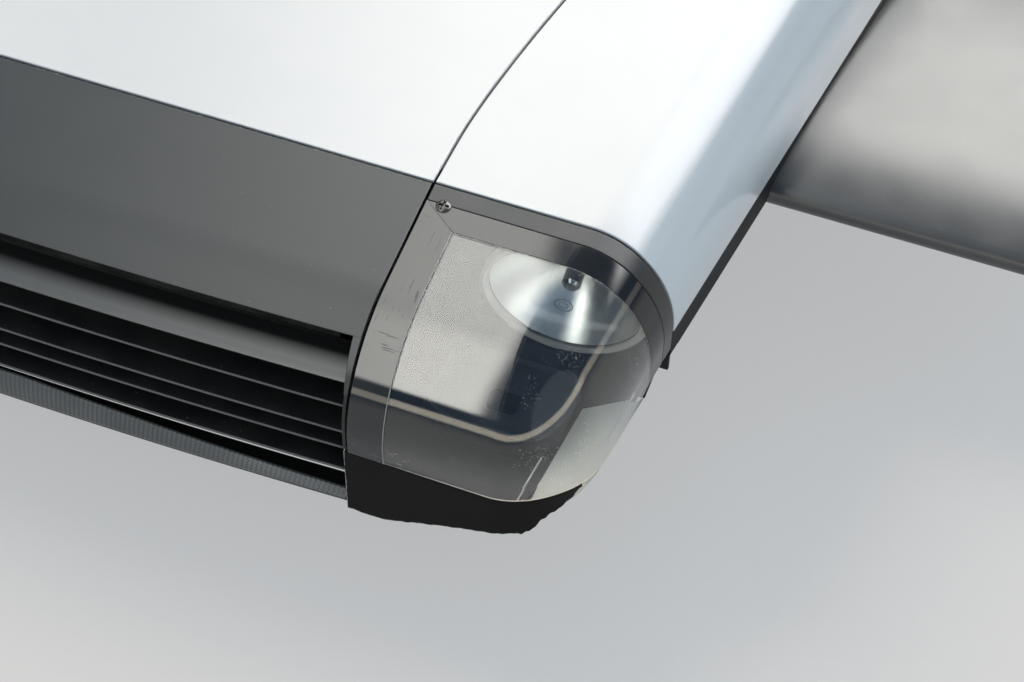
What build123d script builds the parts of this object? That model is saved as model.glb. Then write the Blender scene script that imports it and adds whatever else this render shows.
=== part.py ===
from build123d import *

import math
import os

# Front section of a three-wheeled streamliner car, one solid a piece.
#
# +X is the car's left, +Y its rear and +Z up. The origin is the centre of the bolt pattern on the
# rear face of the bulkhead. Sizes are in millimetres.

# Places of the body's leading lines
PANEL_LINE_Y = -640.0
PANEL_LINE_Z = 55.0
SEAM_X = 335.0
CORNER_WIDTH = 224.0
NOSE_REACH = 206.5
COVER_DEPTH = 126.0
TOP_SLOPE = 5.8
FRONT_LEAN = 2.2
SIDE_TAPER = 8.0
BODY_BOTTOM_DEPTH = 240.0

# Rounding of the body's corners, as the three half-axes of an ellipsoid
ROUND_ACROSS = 82.0
ROUND_ALONG = 109.0
ROUND_DOWN = 105.0

# Skin, seams and the layer that carries the skin
SKIN = 3.0
CONTACT = 0.1
FRAME_WALL = 3.0
SEAM_GAP = 2.4
FLANGE_LAP = 18.0
LAP_SHORT = 6.0
BEYOND = 40.0

# Bonnet seam in plan, as distances outboard of the lamp seam and behind the panel line
BONNET_SEAM = ((0.0, 0.0), (5.0, 70.0), (18.0, 148.0), (36.0, 228.0), (62.0, 320.0),
               (84.0, 420.0), (97.0, 530.0), (103.0, 640.0 + BEYOND))

# White lower edge, black sill and floor
WHITE_EDGE_DEPTH = 108.0
SILL_GAP = 1.5
SILL_STRIP = 36.0
SILL_TUCK = 44.0
SILL_FLANGE = 16.0
SILL_LAP = 4.0
ARM_BELOW_WHITE = 10.0
ARM_THICK = 56.0
ARM_ABOVE_FLOOR = 13.0
FLOOR_DEPTH = WHITE_EDGE_DEPTH + ARM_BELOW_WHITE + ARM_THICK + ARM_ABOVE_FLOOR
FLOOR_WALL = 3.0

# Lamp cover, its frame and the corner chin
FRAME_BAND = 18.6
BAND_GAP = 0.8
OPENING_TOP = 43.0
OPENING_SIDE = 34.0
COVER_FRAME_DROP = 18.0
# The cover's lower edge in side view, as (setback behind the nose's reach, drop below COVER_DEPTH)
COVER_EDGE = ((-20.0, 2.0), (0.0, 2.5), (16.5, 5.0), (28.5, 8.0), (42.5, 12.5), (59.5, 17.0),
              (77.5, 19.0), (104.5, 19.5), (125.0, 16.5), (149.5, 10.5), (170.0, 5.5),
              (190.0, 4.5), (230.0, 4.5))
CHIN_EDGE = ((0.0, 214.0), (30.0, 214.0), (68.0, 201.0), (96.0, 191.0), (147.0, 178.0),
             (157.0, 178.0), (166.0, 173.0), (175.0, 161.0), (187.0, 154.0), (196.0, 147.0))

# Centre panel and grille
# Each grille edge is (setback behind the nose's reach, depth below the body's top).
MOUTH_INSET = 3.2
MOUTH_HALF = SEAM_X - MOUTH_INSET
PANEL_SETBACK = 48.5
PANEL_EDGE_BOW = 5.0
# The post's width at each depth
POST_WIDTHS = ((18.0, 9.0), (66.0, 3.6))
END_PLATE = 2.8
GRILLE_HALF = MOUTH_HALF - END_PLATE - CONTACT
GRILLE_BOW = 7.5
BAR_EDGE = (20.0, 56.0)
BAR_COVE = (25.5, 21.5)
BAR_WALL = 3.0
COVE_STEPS = 6
SLAT_DEPTH = 34.0
SLAT_WALL = 3.0
SLAT_EDGES = ((17.5, 88.5), (12.5, 120.5), (9.5, 140.0), (5.5, 167.5))
LIP_TOP = (7.5, 201.5)
LIP_RISE = 21.0
LIP_RISE_POWER = 1.5
LIP_PEAK_ROUND = 0.08
LIP_STATIONS = 5
LIP_NOSE = (0.5, 205.0)
LIP_ROUND = ((1.2, 210.0), (3.5, 213.5), (7.5, 215.0))
LIP_BOTTOM = LIP_ROUND[-1][1]
LIP_FLOOR = 23.0
LIP_WALL = 3.0
LIP_BULGE = 0.8

# Headlamp
LAMP_X = 124.0
LAMP_Y = -2.0
LAMP_DEPTH = 104.0
LAMP_TILT = -4.0
LAMP_PAN = 3.0
LAMP_RING_R = 78.5
LAMP_GLASS_R = 72.0
LENS_RIM = 0.8
LENS_DOME = 6.5
LENS_WALL = 2.4
REFLECTOR_DEPTH = 54.0
REFLECTOR_NECK_R = 16.0
REFLECTOR_WALL = 1.5
BULB_R = 9.0
BULB_LENGTH = 42.0
LAMP_WALL_Y = 14.0
LAMP_WALL = 3.0

# Tray and ledge in front of the lamp
LEDGE_DEPTH = 165.0
LEDGE_INSET = 14.0
LEDGE_REAR = 14.0
TRAY_SIDES = (36.5, 160.0)
TRAY_FRONT_SETBACK = 68.0
TRAY_REAR = 36.0
TRAY_TOP_DEPTH = 135.0
TRAY_RADIUS = 30.0
TRAY_WALL = 2.5

# Suspension arm fairing and spar
ARM_LEADING_Y = 213.0
ARM_CHORD = 392.0
ARM_CENTRE_DEPTH = WHITE_EDGE_DEPTH + ARM_BELOW_WHITE + ARM_THICK / 2
ARM_NOSE_R = 14.0
ARM_THICKEST = 110.0
ARM_ROOT_X = 500.0
ARM_TIP_X = 860.0
ARM_WALL = 2.5
ARM_TAIL = 6.0
ARM_CLEARANCE = 3.0
SPAR_GAP = 3.5
SPAR_R = ARM_THICK / 2 - ARM_WALL - SPAR_GAP
SPAR_WALL = 3.0
SPAR_BEHIND_EDGE = 133.3
TIP_BLOCK = (34.0, 90.0)
TIP_BLOCK_STEP = 7.0
TIP_BLOCK_ROUND = 10.0
TIP_BORE_R = 8.0

# Rails, cross-members, radiator and bulkhead
RAIL_X = 190.0
RAIL_SIZE = (50.0, 60.0)
RAIL_FRONT_Y = -20.0
RAIL_WALL = 3.0
CROSS_Y = (60.0, 470.0)
CROSS_SIZE = 40.0
RADIATOR_SIZE = (540.0, 36.0, 130.0)
RADIATOR_SETBACK = 166.5
BULKHEAD_WALL = 4.0
FLOOR_FRONT_SETBACK = 38.5
BOLT_SPACING = (1000.0, 140.0)
BOLT_HOLE_R = 5.5

HALF_AT_LINE = SEAM_X + CORNER_WIDTH
WIDE = 2000.0


def y_at(back):
    """Y of a point so far behind the panel line."""
    return PANEL_LINE_Y + back


def z_at(depth):
    """Z of a point so far below the body's top at the panel line."""
    return PANEL_LINE_Z - depth


def box_between(low, high):
    """Box from its two opposite corners."""
    size = [b - a for a, b in zip(low, high)]
    centre = [(a + b) / 2 for a, b in zip(low, high)]
    return Pos(*centre) * Box(*size)


def mirrored(piece):
    """The same piece on the car's right."""
    return mirror(piece, about=Plane.YZ)


def rounded_body(inset, extra=0.0):
    """Nose block, a wedge from the side and from above, with ellipsoid corners.

    inset moves every outer face inwards; extra makes the block longer at the back and bottom,
    so that a hollow cut with it is open there.
    """
    along = ROUND_ALONG - inset
    stretch_x = (ROUND_ACROSS - inset) / along
    stretch_z = (ROUND_DOWN - inset) / along
    slope = math.tan(math.radians(TOP_SLOPE))
    lean = math.tan(math.radians(FRONT_LEAN))
    taper = math.tan(math.radians(SIDE_TAPER))
    top_drop = inset / math.cos(math.radians(TOP_SLOPE))
    front_shift = inset / math.cos(math.radians(FRONT_LEAN))
    side_shift = inset / math.cos(math.radians(SIDE_TAPER))

    def front_y(z):
        return y_at(-NOSE_REACH) + front_shift + lean * (z - z_at(COVER_DEPTH))

    rear_y = extra
    bottom_z = z_at(BODY_BOTTOM_DEPTH) - extra
    apex_y = y_at(-NOSE_REACH) + front_shift
    for _ in range(6):
        apex_z = PANEL_LINE_Z - top_drop + slope * (apex_y - PANEL_LINE_Y)
        apex_y = front_y(apex_z)
    rear_top_z = PANEL_LINE_Z - top_drop + slope * (rear_y - PANEL_LINE_Y)
    side_view = [(apex_y, apex_z), (rear_y, rear_top_z), (rear_y, bottom_z),
                 (front_y(bottom_z), bottom_z)]
    profile = Plane.YZ * Polygon(*[(y, z / stretch_z) for y, z in side_view], align=None)
    wedge = extrude(profile, WIDE, both=True)

    def half_width(y):
        return HALF_AT_LINE - side_shift + taper * (y - PANEL_LINE_Y)

    front = y_at(-NOSE_REACH) - BEYOND
    rear = rear_y + BEYOND
    plan = [(half_width(front), front), (half_width(rear), rear),
            (-half_width(rear), rear), (-half_width(front), front)]
    outline = Polygon(*[(x / stretch_x, y) for x, y in plan], align=None)
    block = wedge & extrude(outline, WIDE, both=True)

    def is_rounded(edge):
        ends = edge.vertices()
        on_rear = all(abs(v.Y - rear_y) < 0.01 for v in ends)
        on_bottom = all(abs(v.Z - bottom_z / stretch_z) < 0.01 for v in ends)
        return not on_rear and not on_bottom

    block = fillet([edge for edge in block.edges() if is_rounded(edge)], along)
    return scale(block, by=(stretch_x, 1.0, stretch_z))


def layer(outer, inner):
    """Shell of the body between two insets, open at the back and bottom."""
    return rounded_body(outer) - rounded_body(inner, BEYOND)


def bonnet_edge(shift):
    """Bonnet seam in plan on the car's left, moved sideways by shift."""
    points = [(SEAM_X + out + shift, y_at(back)) for out, back in BONNET_SEAM]
    return Spline(*points, tangents=[(0, 1), (0, 1)])


def beside_seam(shift_in, shift_out):
    """Upright prism from one shift of the bonnet seam to another."""
    inner, outer = bonnet_edge(shift_in), bonnet_edge(shift_out)
    ring = Wire([inner, Line(inner @ 1, outer @ 1), outer, Line(outer @ 0, inner @ 0)])
    return extrude(make_face(ring.edges()), WIDE, both=True)


OUTER_SKIN = layer(0.0, SKIN)
CARRIER_IN = SKIN + CONTACT
CARRIER_OUT = CARRIER_IN + FRAME_WALL
CARRIER = layer(CARRIER_IN, CARRIER_OUT)
INSIDE = rounded_body(CARRIER_OUT + CONTACT)
UNDER_SKIN = rounded_body(CARRIER_IN)


def aerofoil(extra):
    """Section of the arm fairing, grown by extra all round, in a plane seen along X.

    Each side is three arcs that run on smoothly: the nose, the rise to the thickest place and
    the long fall to the tail.
    """
    half, tail = ARM_THICK / 2, ARM_TAIL / 2
    ahead = ARM_THICKEST - ARM_NOSE_R
    rise_r = (ahead ** 2 + half ** 2 - ARM_NOSE_R ** 2) / (2 * (half - ARM_NOSE_R))
    behind = ARM_CHORD - ARM_THICKEST
    fall_r = (behind ** 2 + (half - tail) ** 2) / (2 * (half - tail))

    def point_on(centre, radius, angle, way):
        reach = radius + extra
        turn = math.radians(angle)
        return (centre[0] + reach * math.cos(turn), way * (centre[1] + reach * math.sin(turn)))

    nose = (ARM_NOSE_R, 0.0)
    rise = (ARM_THICKEST, half - rise_r)
    fall = (ARM_THICKEST, half - fall_r)
    meet = math.degrees(math.atan2(nose[1] - rise[1], nose[0] - rise[0]))
    last = 90 - math.degrees(math.asin(behind / fall_r))

    def side(way):
        marks = [point_on(nose, ARM_NOSE_R, angle, way) for angle in (180, (180 + meet) / 2, meet)]
        marks += [point_on(rise, rise_r, angle, way) for angle in ((meet + 90) / 2, 90)]
        marks += [point_on(fall, fall_r, angle, way) for angle in ((90 + last) / 2, last)]
        return [ThreePointArc(*marks[i:i + 3]) for i in (0, 2, 4)]

    upper, lower = side(1), side(-1)
    tail_line = Line(upper[-1] @ 1, lower[-1] @ 1)
    return make_face(Wire([*upper, tail_line, *lower]).edges())


def arm_prism(extra, low_x, high_x):
    """Aerofoil drawn out along X between two distances from the centre."""
    plane = Plane(origin=(low_x, y_at(ARM_LEADING_Y), z_at(ARM_CENTRE_DEPTH)),
                  x_dir=(0, 1, 0), z_dir=(1, 0, 0))
    return extrude(plane * aerofoil(extra), high_x - low_x, dir=(1, 0, 0))


def bonnet_panel():
    """White panel between the two bonnet seams, behind the panel line."""
    left = beside_seam(-SEAM_GAP / 2, WIDE)
    area = box_between((-WIDE, y_at(SEAM_GAP / 2), z_at(60)), (WIDE, 0, 400))
    return (OUTER_SKIN & area) - left - mirrored(left)


def fender_panel():
    """White corner panel over the left shoulder, down to the white lower edge."""
    area = box_between((0, y_at(SEAM_GAP / 2), z_at(WHITE_EDGE_DEPTH)), (WIDE, 0, 400))
    return OUTER_SKIN & area & beside_seam(SEAM_GAP / 2, WIDE)


def nose_panel():
    """Black centre panel ahead of the panel line, with a narrow post at each end."""
    edge = SEAM_X - SEAM_GAP / 2
    low = y_at(PANEL_SETBACK - NOSE_REACH)
    front = ThreePointArc((-edge, low), (0, low - PANEL_EDGE_BOW), (edge, low))
    back = y_at(-SEAM_GAP / 2)
    outline = Wire([front, Line((edge, low), (edge, back)), Line((edge, back), (-edge, back)),
                    Line((-edge, back), (-edge, low))])
    panel = OUTER_SKIN & extrude(make_face(outline.edges()), WIDE, both=True)
    (high, wide), (foot, narrow) = POST_WIDTHS
    panel = panel & box_between((-WIDE, -WIDE, z_at(foot)), (WIDE, 0, WIDE))
    strip = Polygon((edge, z_at(foot)), (edge, WIDE), (edge - wide, WIDE), (edge - wide, z_at(high)),
                    (edge - narrow, z_at(foot)), align=None)
    post = OUTER_SKIN & extrude(Plane.XZ * strip, WIDE, both=True)
    post = post & box_between((0, -WIDE, -WIDE), (WIDE, low + 1, WIDE))
    return panel + post + mirrored(post)


def above_cover_edge(drop):
    """All that lies above the cover's lower edge, lowered by drop."""
    edge = [(y_at(setback - NOSE_REACH), z_at(COVER_DEPTH + fall + drop)) for setback, fall in COVER_EDGE]
    sides = Line(edge[-1], (edge[-1][0], WIDE)), Line((edge[-1][0], WIDE), (edge[0][0], WIDE))
    outline = Wire([Spline(*edge), *sides, Line((edge[0][0], WIDE), edge[0])])
    return extrude(Plane.YZ * make_face(outline.edges()), WIDE, both=True)


def lamp_surround():
    """Black frame of the left lamp cover, lapping under every panel around it."""
    left = SEAM_X - FLANGE_LAP
    lap = box_between((left, y_at(PANEL_SETBACK + LAP_SHORT - NOSE_REACH),
                       z_at(COVER_DEPTH + COVER_FRAME_DROP)),
                      (WIDE, y_at(FLANGE_LAP), 400))
    front = box_between((MOUTH_HALF, -WIDE, z_at(COVER_DEPTH + COVER_FRAME_DROP)),
                        (WIDE, y_at(FLANGE_LAP), 400))
    opening = box_between((SEAM_X + OPENING_SIDE, -WIDE, z_at(COVER_DEPTH - 2)),
                          (WIDE, y_at(-OPENING_TOP), 400))
    side_opening = box_between((SEAM_X + CHIN_EDGE[-1][0], -WIDE, -WIDE),
                               (WIDE, y_at(-OPENING_TOP), 400))
    beside_sill = box_between((SEAM_X, y_at(0), -WIDE), (WIDE, WIDE, z_at(WHITE_EDGE_DEPTH - SILL_LAP)))
    frame = (CARRIER & (lap + front)) - opening - side_opening - beside_sill
    band_box = box_between((SEAM_X + SEAM_GAP / 2, y_at(-FRAME_BAND), -WIDE),
                           (WIDE, y_at(-SEAM_GAP / 2), 400))
    band = layer(0.0, CARRIER_OUT) & band_box & above_cover_edge(0.0)
    return frame + band


def lamp_cover():
    """Clear cover over the left lamp, round the corner from the top to the front and side."""
    area = box_between((SEAM_X + SEAM_GAP / 2, -WIDE, -WIDE),
                       (WIDE, y_at(-FRAME_BAND - BAND_GAP), 400))
    return OUTER_SKIN & area & above_cover_edge(0.0)


def chin_corner():
    """Black corner skin under the left lamp cover, its lower edge worn away in a curve."""
    top = z_at(COVER_DEPTH)
    start = MOUTH_HALF + CONTACT
    points = [(SEAM_X + out, z_at(depth)) for out, depth in CHIN_EDGE]
    points[0] = (start, points[0][1])
    outline = Polygon(*points, (points[-1][0], top), (start, top), align=None)
    prism = extrude(Plane.XZ * outline, WIDE, both=True)
    return (OUTER_SKIN & prism) - above_cover_edge(BAND_GAP)


def sill():
    """Black lower side: an upright strip that tucks under to the floor behind the lamp's corner."""
    angle = math.radians(SIDE_TAPER)
    start = Vector(HALF_AT_LINE, PANEL_LINE_Y, 0)
    along = Vector(math.sin(angle), math.cos(angle), 0)
    plane = Plane(origin=start, x_dir=(math.cos(angle), -math.sin(angle), 0),
                  z_dir=(-along.X, -along.Y, 0))
    top = z_at(WHITE_EDGE_DEPTH + SILL_GAP)
    bend = top - SILL_STRIP
    low = z_at(FLOOR_DEPTH)
    recess = 1.0
    section = Polygon((-recess, top), (-recess, bend), (-SILL_TUCK, low),
                      (-SILL_TUCK - SILL_FLANGE, low), (-SILL_TUCK - SILL_FLANGE, low + FLOOR_WALL),
                      (-SILL_TUCK - 2, low + FLOOR_WALL), (-CARRIER_OUT, bend + 1),
                      (-CARRIER_OUT, top + SILL_LAP), (-CARRIER_IN, top + SILL_LAP),
                      (-CARRIER_IN, top), align=None)
    strip = extrude(plane * section, WIDE, both=True)
    rear = -BULKHEAD_WALL - 2 * CONTACT
    tucked = box_between((0, y_at(FLANGE_LAP + 0.5), -WIDE), (WIDE, rear, WIDE))
    upright = box_between((0, y_at(SEAM_GAP / 2), bend + 1), (WIDE, rear, WIDE))
    strip = strip & (tucked + upright)
    slot = arm_prism(ARM_CLEARANCE, HALF_AT_LINE - 150, HALF_AT_LINE + 300)
    tail = y_at(ARM_LEADING_Y + ARM_CHORD)
    reach = ARM_TAIL / 2 + ARM_CLEARANCE
    slot_end = box_between((0, tail - ARM_CLEARANCE, z_at(ARM_CENTRE_DEPTH + reach)),
                           (WIDE, tail + ARM_CLEARANCE, z_at(ARM_CENTRE_DEPTH - reach)))
    return strip - slot - slot_end


def seam_flange():
    """Joggle under the left bonnet seam, carrying both white panels."""
    area = box_between((0, y_at(FLANGE_LAP + 0.4), z_at(60)), (WIDE, -BULKHEAD_WALL - 0.2, 400))
    return CARRIER & area & beside_seam(-FLANGE_LAP, FLANGE_LAP)


def turned_section(section):
    """Ring segment bowed in plan, from a section in side view, cut to the grille's width."""
    half = GRILLE_HALF
    radius = half * half / (2 * GRILLE_BOW)
    hub = Axis((0, y_at(-NOSE_REACH) + radius, 0), (0, 0, 1))
    reach = math.degrees(math.asin(half / radius)) + 1
    face = Plane.YZ * section
    ring = revolve(face.rotate(hub, -reach), hub, 2 * reach)
    return ring & box_between((-half, -WIDE, -WIDE), (half, WIDE, WIDE))


def side_point(setback, depth):
    """Side-view point so far behind the nose's reach and below the body's top."""
    return (y_at(setback - NOSE_REACH), z_at(depth))


def cove_line(grow):
    """Quarter ellipse of the bar's hollow face, from its upper end to its front edge, grown by grow."""
    (setback, depth), (deep, tall) = BAR_EDGE, BAR_COVE
    points = []
    for step in range(COVE_STEPS + 1):
        turn = step * math.pi / 2 / COVE_STEPS
        points.append(side_point(setback - GRILLE_BOW + (deep + grow) * math.cos(turn),
                                 depth - tall + (tall + grow) * math.sin(turn)))
    return points


def grille_bar():
    """Hollow-faced bar under the centre panel's edge, flaring forward to a sharp lower edge."""
    face, back = cove_line(0.0), cove_line(BAR_WALL)[:-1]
    outline = Wire([Spline(*face), Line(face[-1], back[-1]), Spline(*back), Line(back[0], face[0])])
    return turned_section(make_face(outline.edges()))


def grille_slat(setback, depth):
    """Thin slat with a round front edge."""
    front = setback - GRILLE_BOW
    half = SLAT_WALL / 2
    rear = front + SLAT_DEPTH
    tip = ThreePointArc(side_point(front + half, depth - half), side_point(front, depth),
                        side_point(front + half, depth + half))
    outline = Wire([tip, Line(tip @ 1, side_point(rear, depth + half)),
                    Line(side_point(rear, depth + half), side_point(rear, depth - half)),
                    Line(side_point(rear, depth - half), tip @ 0)])
    return turned_section(make_face(outline.edges()))


def lip_section(share):
    """Side-view section of the lip at a share of its half width, its face tallest in the middle."""
    setback, depth = LIP_TOP
    out = math.hypot(share, LIP_PEAK_ROUND) - LIP_PEAK_ROUND
    top = depth - LIP_RISE * (1 - out) ** LIP_RISE_POWER
    nose, turn = LIP_NOSE
    middle, half_way = (setback + nose) / 2 - LIP_BULGE, (top + turn) / 2
    foot = LIP_BOTTOM - LIP_WALL
    outside = [(setback, top), (middle, half_way), LIP_NOSE, *LIP_ROUND, (setback + LIP_FLOOR, LIP_BOTTOM)]
    inside = [(setback + LIP_FLOOR, foot), (setback, foot), (nose + LIP_WALL, turn),
              (middle + LIP_WALL, half_way), (setback + LIP_WALL, top)]
    bow = GRILLE_BOW * (1 - share * share)
    return [side_point(back - bow, down) for back, down in outside + inside]


def grille_lip():
    """Bottom lip of the grille, bowed in plan, its top edge rising to the middle."""
    sections = []
    for station in range(-LIP_STATIONS, LIP_STATIONS + 1):
        share = station / LIP_STATIONS
        plane = Plane(origin=(share * GRILLE_HALF, 0, 0), x_dir=(0, 1, 0), z_dir=(1, 0, 0))
        sections.append(plane * Polygon(*lip_section(share), align=None))
    return loft(sections)


def end_plate():
    """Upright wall at the left end of the grille and its air duct."""
    right = MOUTH_HALF - CONTACT
    area = box_between((right - END_PLATE, -WIDE, z_at(LIP_BOTTOM)),
                       (right, y_at(LAMP_WALL_Y + LAMP_WALL), 400))
    return INSIDE & area


def lamp_plane():
    """Plane of the left lamp's glass, facing the front."""
    tilt, pan = math.radians(LAMP_TILT), math.radians(LAMP_PAN)
    facing = (math.sin(pan) * math.cos(tilt), -math.cos(pan) * math.cos(tilt), math.sin(tilt))
    centre = (SEAM_X + LAMP_X, y_at(LAMP_Y), z_at(LAMP_DEPTH))
    return Plane(origin=centre, x_dir=(math.cos(pan), math.sin(pan), 0), z_dir=facing)


def turned_on_lamp(points):
    """Solid of revolution about the left lamp's axis from (radius, forward) points."""
    face = Plane.XZ * Polygon(*points, align=None)
    return lamp_plane() * revolve(face, Axis.Z, 360)


def lamp_ring():
    """Retaining ring of the lamp with the sleeve that holds it to the lamp wall."""
    inner = LAMP_GLASS_R + 0.2
    return turned_on_lamp([(inner, -3.2), (inner, 1.5), (inner - 1.5, 1.5), (inner - 1.5, 3.5),
                           (inner + 3, 5.5), (LAMP_RING_R, 3.0), (LAMP_RING_R, -3.2)])


def lamp_lens():
    """Slightly domed glass of the lamp."""
    steps = 8
    radii = [LAMP_GLASS_R * i / steps for i in range(steps + 1)]
    outside = [(r, LENS_RIM + LENS_DOME * (1 - (r / LAMP_GLASS_R) ** 2)) for r in radii]
    inside = [(r, z - LENS_WALL) for r, z in reversed(outside)]
    return turned_on_lamp(outside + inside)


def lamp_reflector():
    """Bowl of the lamp, a parabola about its axis with a flat rim."""
    neck, deep, wall = REFLECTOR_NECK_R, REFLECTOR_DEPTH, REFLECTOR_WALL
    rim = LAMP_GLASS_R - wall
    mid = (rim + neck) / 2
    level = -2.0 - deep * (1 - ((mid - neck) / (rim - neck)) ** 2)
    inside = Spline((neck, -2.0 - deep), (mid, level), (rim, -2.0))
    outside = Spline((rim + wall, -3.4), (mid + wall, level - wall), (neck, -2.0 - deep - wall * 1.5))
    outline = Wire([inside, Line(inside @ 1, outside @ 0), outside, Line(outside @ 1, inside @ 0)])
    return lamp_plane() * revolve(Plane.XZ * make_face(outline.edges()), Axis.Z, 360)


def lamp_bulb():
    """Bulb with its cap, seated in the neck of the bowl."""
    back = -2.0 - REFLECTOR_DEPTH
    seat = REFLECTOR_NECK_R - CONTACT
    return turned_on_lamp([(0, back - 16), (seat, back - 16), (seat, back + 1), (BULB_R, back + 2),
                           (BULB_R, back + BULB_LENGTH - 3), (BULB_R - 3, back + BULB_LENGTH),
                           (0, back + BULB_LENGTH)])


def lamp_wall():
    """Upright plate behind the left lamp, with the hole that the bowl goes through."""
    area = box_between((MOUTH_HALF, y_at(LAMP_WALL_Y), z_at(FLOOR_DEPTH - FLOOR_WALL)),
                       (WIDE, y_at(LAMP_WALL_Y + LAMP_WALL), 400))
    hole = lamp_plane() * Pos(0, 0, -40) * Cylinder(LAMP_GLASS_R + 2, 100)
    boss = lamp_plane() * Pos(0, 0, -10) * Cylinder(LAMP_RING_R - 1, 13.4)
    boss = boss & box_between((0, -WIDE, -WIDE), (WIDE, y_at(LAMP_WALL_Y + 1), WIDE))
    return ((INSIDE & area) + boss) - hole


def tray_outline(grow):
    """Rounded plan outline of the tray, grown by grow."""
    low_x, high_x = (SEAM_X + v for v in TRAY_SIDES)
    front, rear = y_at(TRAY_FRONT_SETBACK - NOSE_REACH), y_at(-TRAY_REAR)
    shape = Pos((low_x + high_x) / 2, (front + rear) / 2) * RectangleRounded(
        high_x - low_x + 2 * grow, rear - front + 2 * grow, TRAY_RADIUS + grow)
    return shape


def lamp_tray():
    """Dark open tray under and ahead of the left lamp."""
    height = LEDGE_DEPTH - TRAY_TOP_DEPTH
    outer = extrude(Pos(0, 0, z_at(LEDGE_DEPTH)) * tray_outline(0), height)
    inner = extrude(Pos(0, 0, z_at(LEDGE_DEPTH - TRAY_WALL)) * tray_outline(-TRAY_WALL), height)
    return outer - inner


def lamp_ledge():
    """Pale floor of the lamp bay, which the tray stands on."""
    area = box_between((MOUTH_HALF, -WIDE, z_at(LEDGE_DEPTH + FLOOR_WALL)),
                       (WIDE, y_at(-LEDGE_REAR), z_at(LEDGE_DEPTH)))
    lamp = lamp_plane() * Cylinder(LAMP_RING_R + 1.5, 60)
    return (rounded_body(LEDGE_INSET) & area) - lamp


def arm_fairing():
    """Hollow aerofoil shell over the left suspension arm, closed at its tip."""
    hollow = arm_prism(-ARM_WALL, ARM_ROOT_X - 1, ARM_TIP_X - ARM_WALL)
    tail = y_at(ARM_LEADING_Y + ARM_CHORD - 2 * ARM_TAIL)
    hollow = hollow & box_between((0, -WIDE, -WIDE), (WIDE, tail, WIDE))
    shell = arm_prism(0, ARM_ROOT_X, ARM_TIP_X) - hollow
    return shell - spar_rod(SPAR_R + CONTACT)


def spar_rod(radius):
    """Rod along the left spar, from the rail through the fairing's tip."""
    start = RAIL_X + RAIL_SIZE[0] / 2
    length = ARM_TIP_X + TIP_BLOCK[0] / 2 - start
    place = Pos(start + length / 2, y_at(ARM_LEADING_Y + SPAR_BEHIND_EDGE),
                z_at(ARM_CENTRE_DEPTH))
    return place * Rot(0, 90, 0) * Cylinder(radius, length)


def arm_spar():
    """Tube that carries the left fairing, from the rail to the tip block."""
    tube = spar_rod(SPAR_R) - spar_rod(SPAR_R - SPAR_WALL)
    return tube & box_between((0, -WIDE, -WIDE), (ARM_TIP_X, WIDE, WIDE))


def tip_block():
    """Block on the left fairing's tip with the cross bore for the wheel carrier."""
    length, depth = TIP_BLOCK
    height = ARM_THICK - 2 * TIP_BLOCK_STEP
    centre_y = y_at(ARM_LEADING_Y + SPAR_BEHIND_EDGE)
    centre = (ARM_TIP_X + CONTACT + length / 2, centre_y, z_at(ARM_CENTRE_DEPTH))
    block = Pos(*centre) * Box(length, depth, height)
    block = fillet(block.edges().filter_by(Axis.X), TIP_BLOCK_ROUND)
    return block - Pos(*centre) * Rot(90, 0, 0) * Cylinder(TIP_BORE_R, depth * 2)


def rail():
    """Box tube under the bonnet on the car's left, standing on the floor."""
    wide, high = RAIL_SIZE
    low = z_at(FLOOR_DEPTH - FLOOR_WALL)
    front, rear = y_at(RAIL_FRONT_Y), -BULKHEAD_WALL - CONTACT
    outer = box_between((RAIL_X - wide / 2, front, low), (RAIL_X + wide / 2, rear, low + high))
    wall = RAIL_WALL
    inner = box_between((RAIL_X - wide / 2 + wall, front - 1, low + wall),
                        (RAIL_X + wide / 2 - wall, rear + 1, low + high - wall))
    return outer - inner


def cross_member(back):
    """Tube between the two rails, so far behind the panel line."""
    half = RAIL_X - RAIL_SIZE[0] / 2 - CONTACT
    low = z_at(FLOOR_DEPTH - FLOOR_WALL)
    outer = box_between((-half, y_at(back), low), (half, y_at(back) + CROSS_SIZE, low + CROSS_SIZE))
    wall = RAIL_WALL
    inner = box_between((-half - 1, y_at(back) + wall, low + wall),
                        (half + 1, y_at(back) + CROSS_SIZE - wall, low + CROSS_SIZE - wall))
    return outer - inner


def radiator():
    """Radiator core behind the grille, standing on the floor."""
    wide, deep, high = RADIATOR_SIZE
    low = z_at(FLOOR_DEPTH - FLOOR_WALL)
    front = y_at(RADIATOR_SETBACK - NOSE_REACH)
    return box_between((-wide / 2, front - deep, low), (wide / 2, front, low + high))


def floor_pan():
    """Flat underside between the sills and the grille's end walls."""
    taper = math.tan(math.radians(SIDE_TAPER))
    edge = (SILL_TUCK + SILL_FLANGE + 0.2) / math.cos(math.radians(SIDE_TAPER))
    mouth = GRILLE_HALF - CONTACT
    front = y_at(FLOOR_FRONT_SETBACK - NOSE_REACH)
    step = y_at(LAMP_WALL_Y + LAMP_WALL + CONTACT)
    rear = -BULKHEAD_WALL - CONTACT
    shoulder = HALF_AT_LINE - edge + taper * (step - PANEL_LINE_Y)
    back = HALF_AT_LINE - edge + taper * (rear - PANEL_LINE_Y)
    half = [(mouth, front), (mouth, step), (shoulder, step), (back, rear)]
    outline = Polygon(*half, *[(-x, y) for x, y in reversed(half)], align=None)
    return extrude(Pos(0, 0, z_at(FLOOR_DEPTH)) * outline, FLOOR_WALL, dir=(0, 0, 1))


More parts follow.
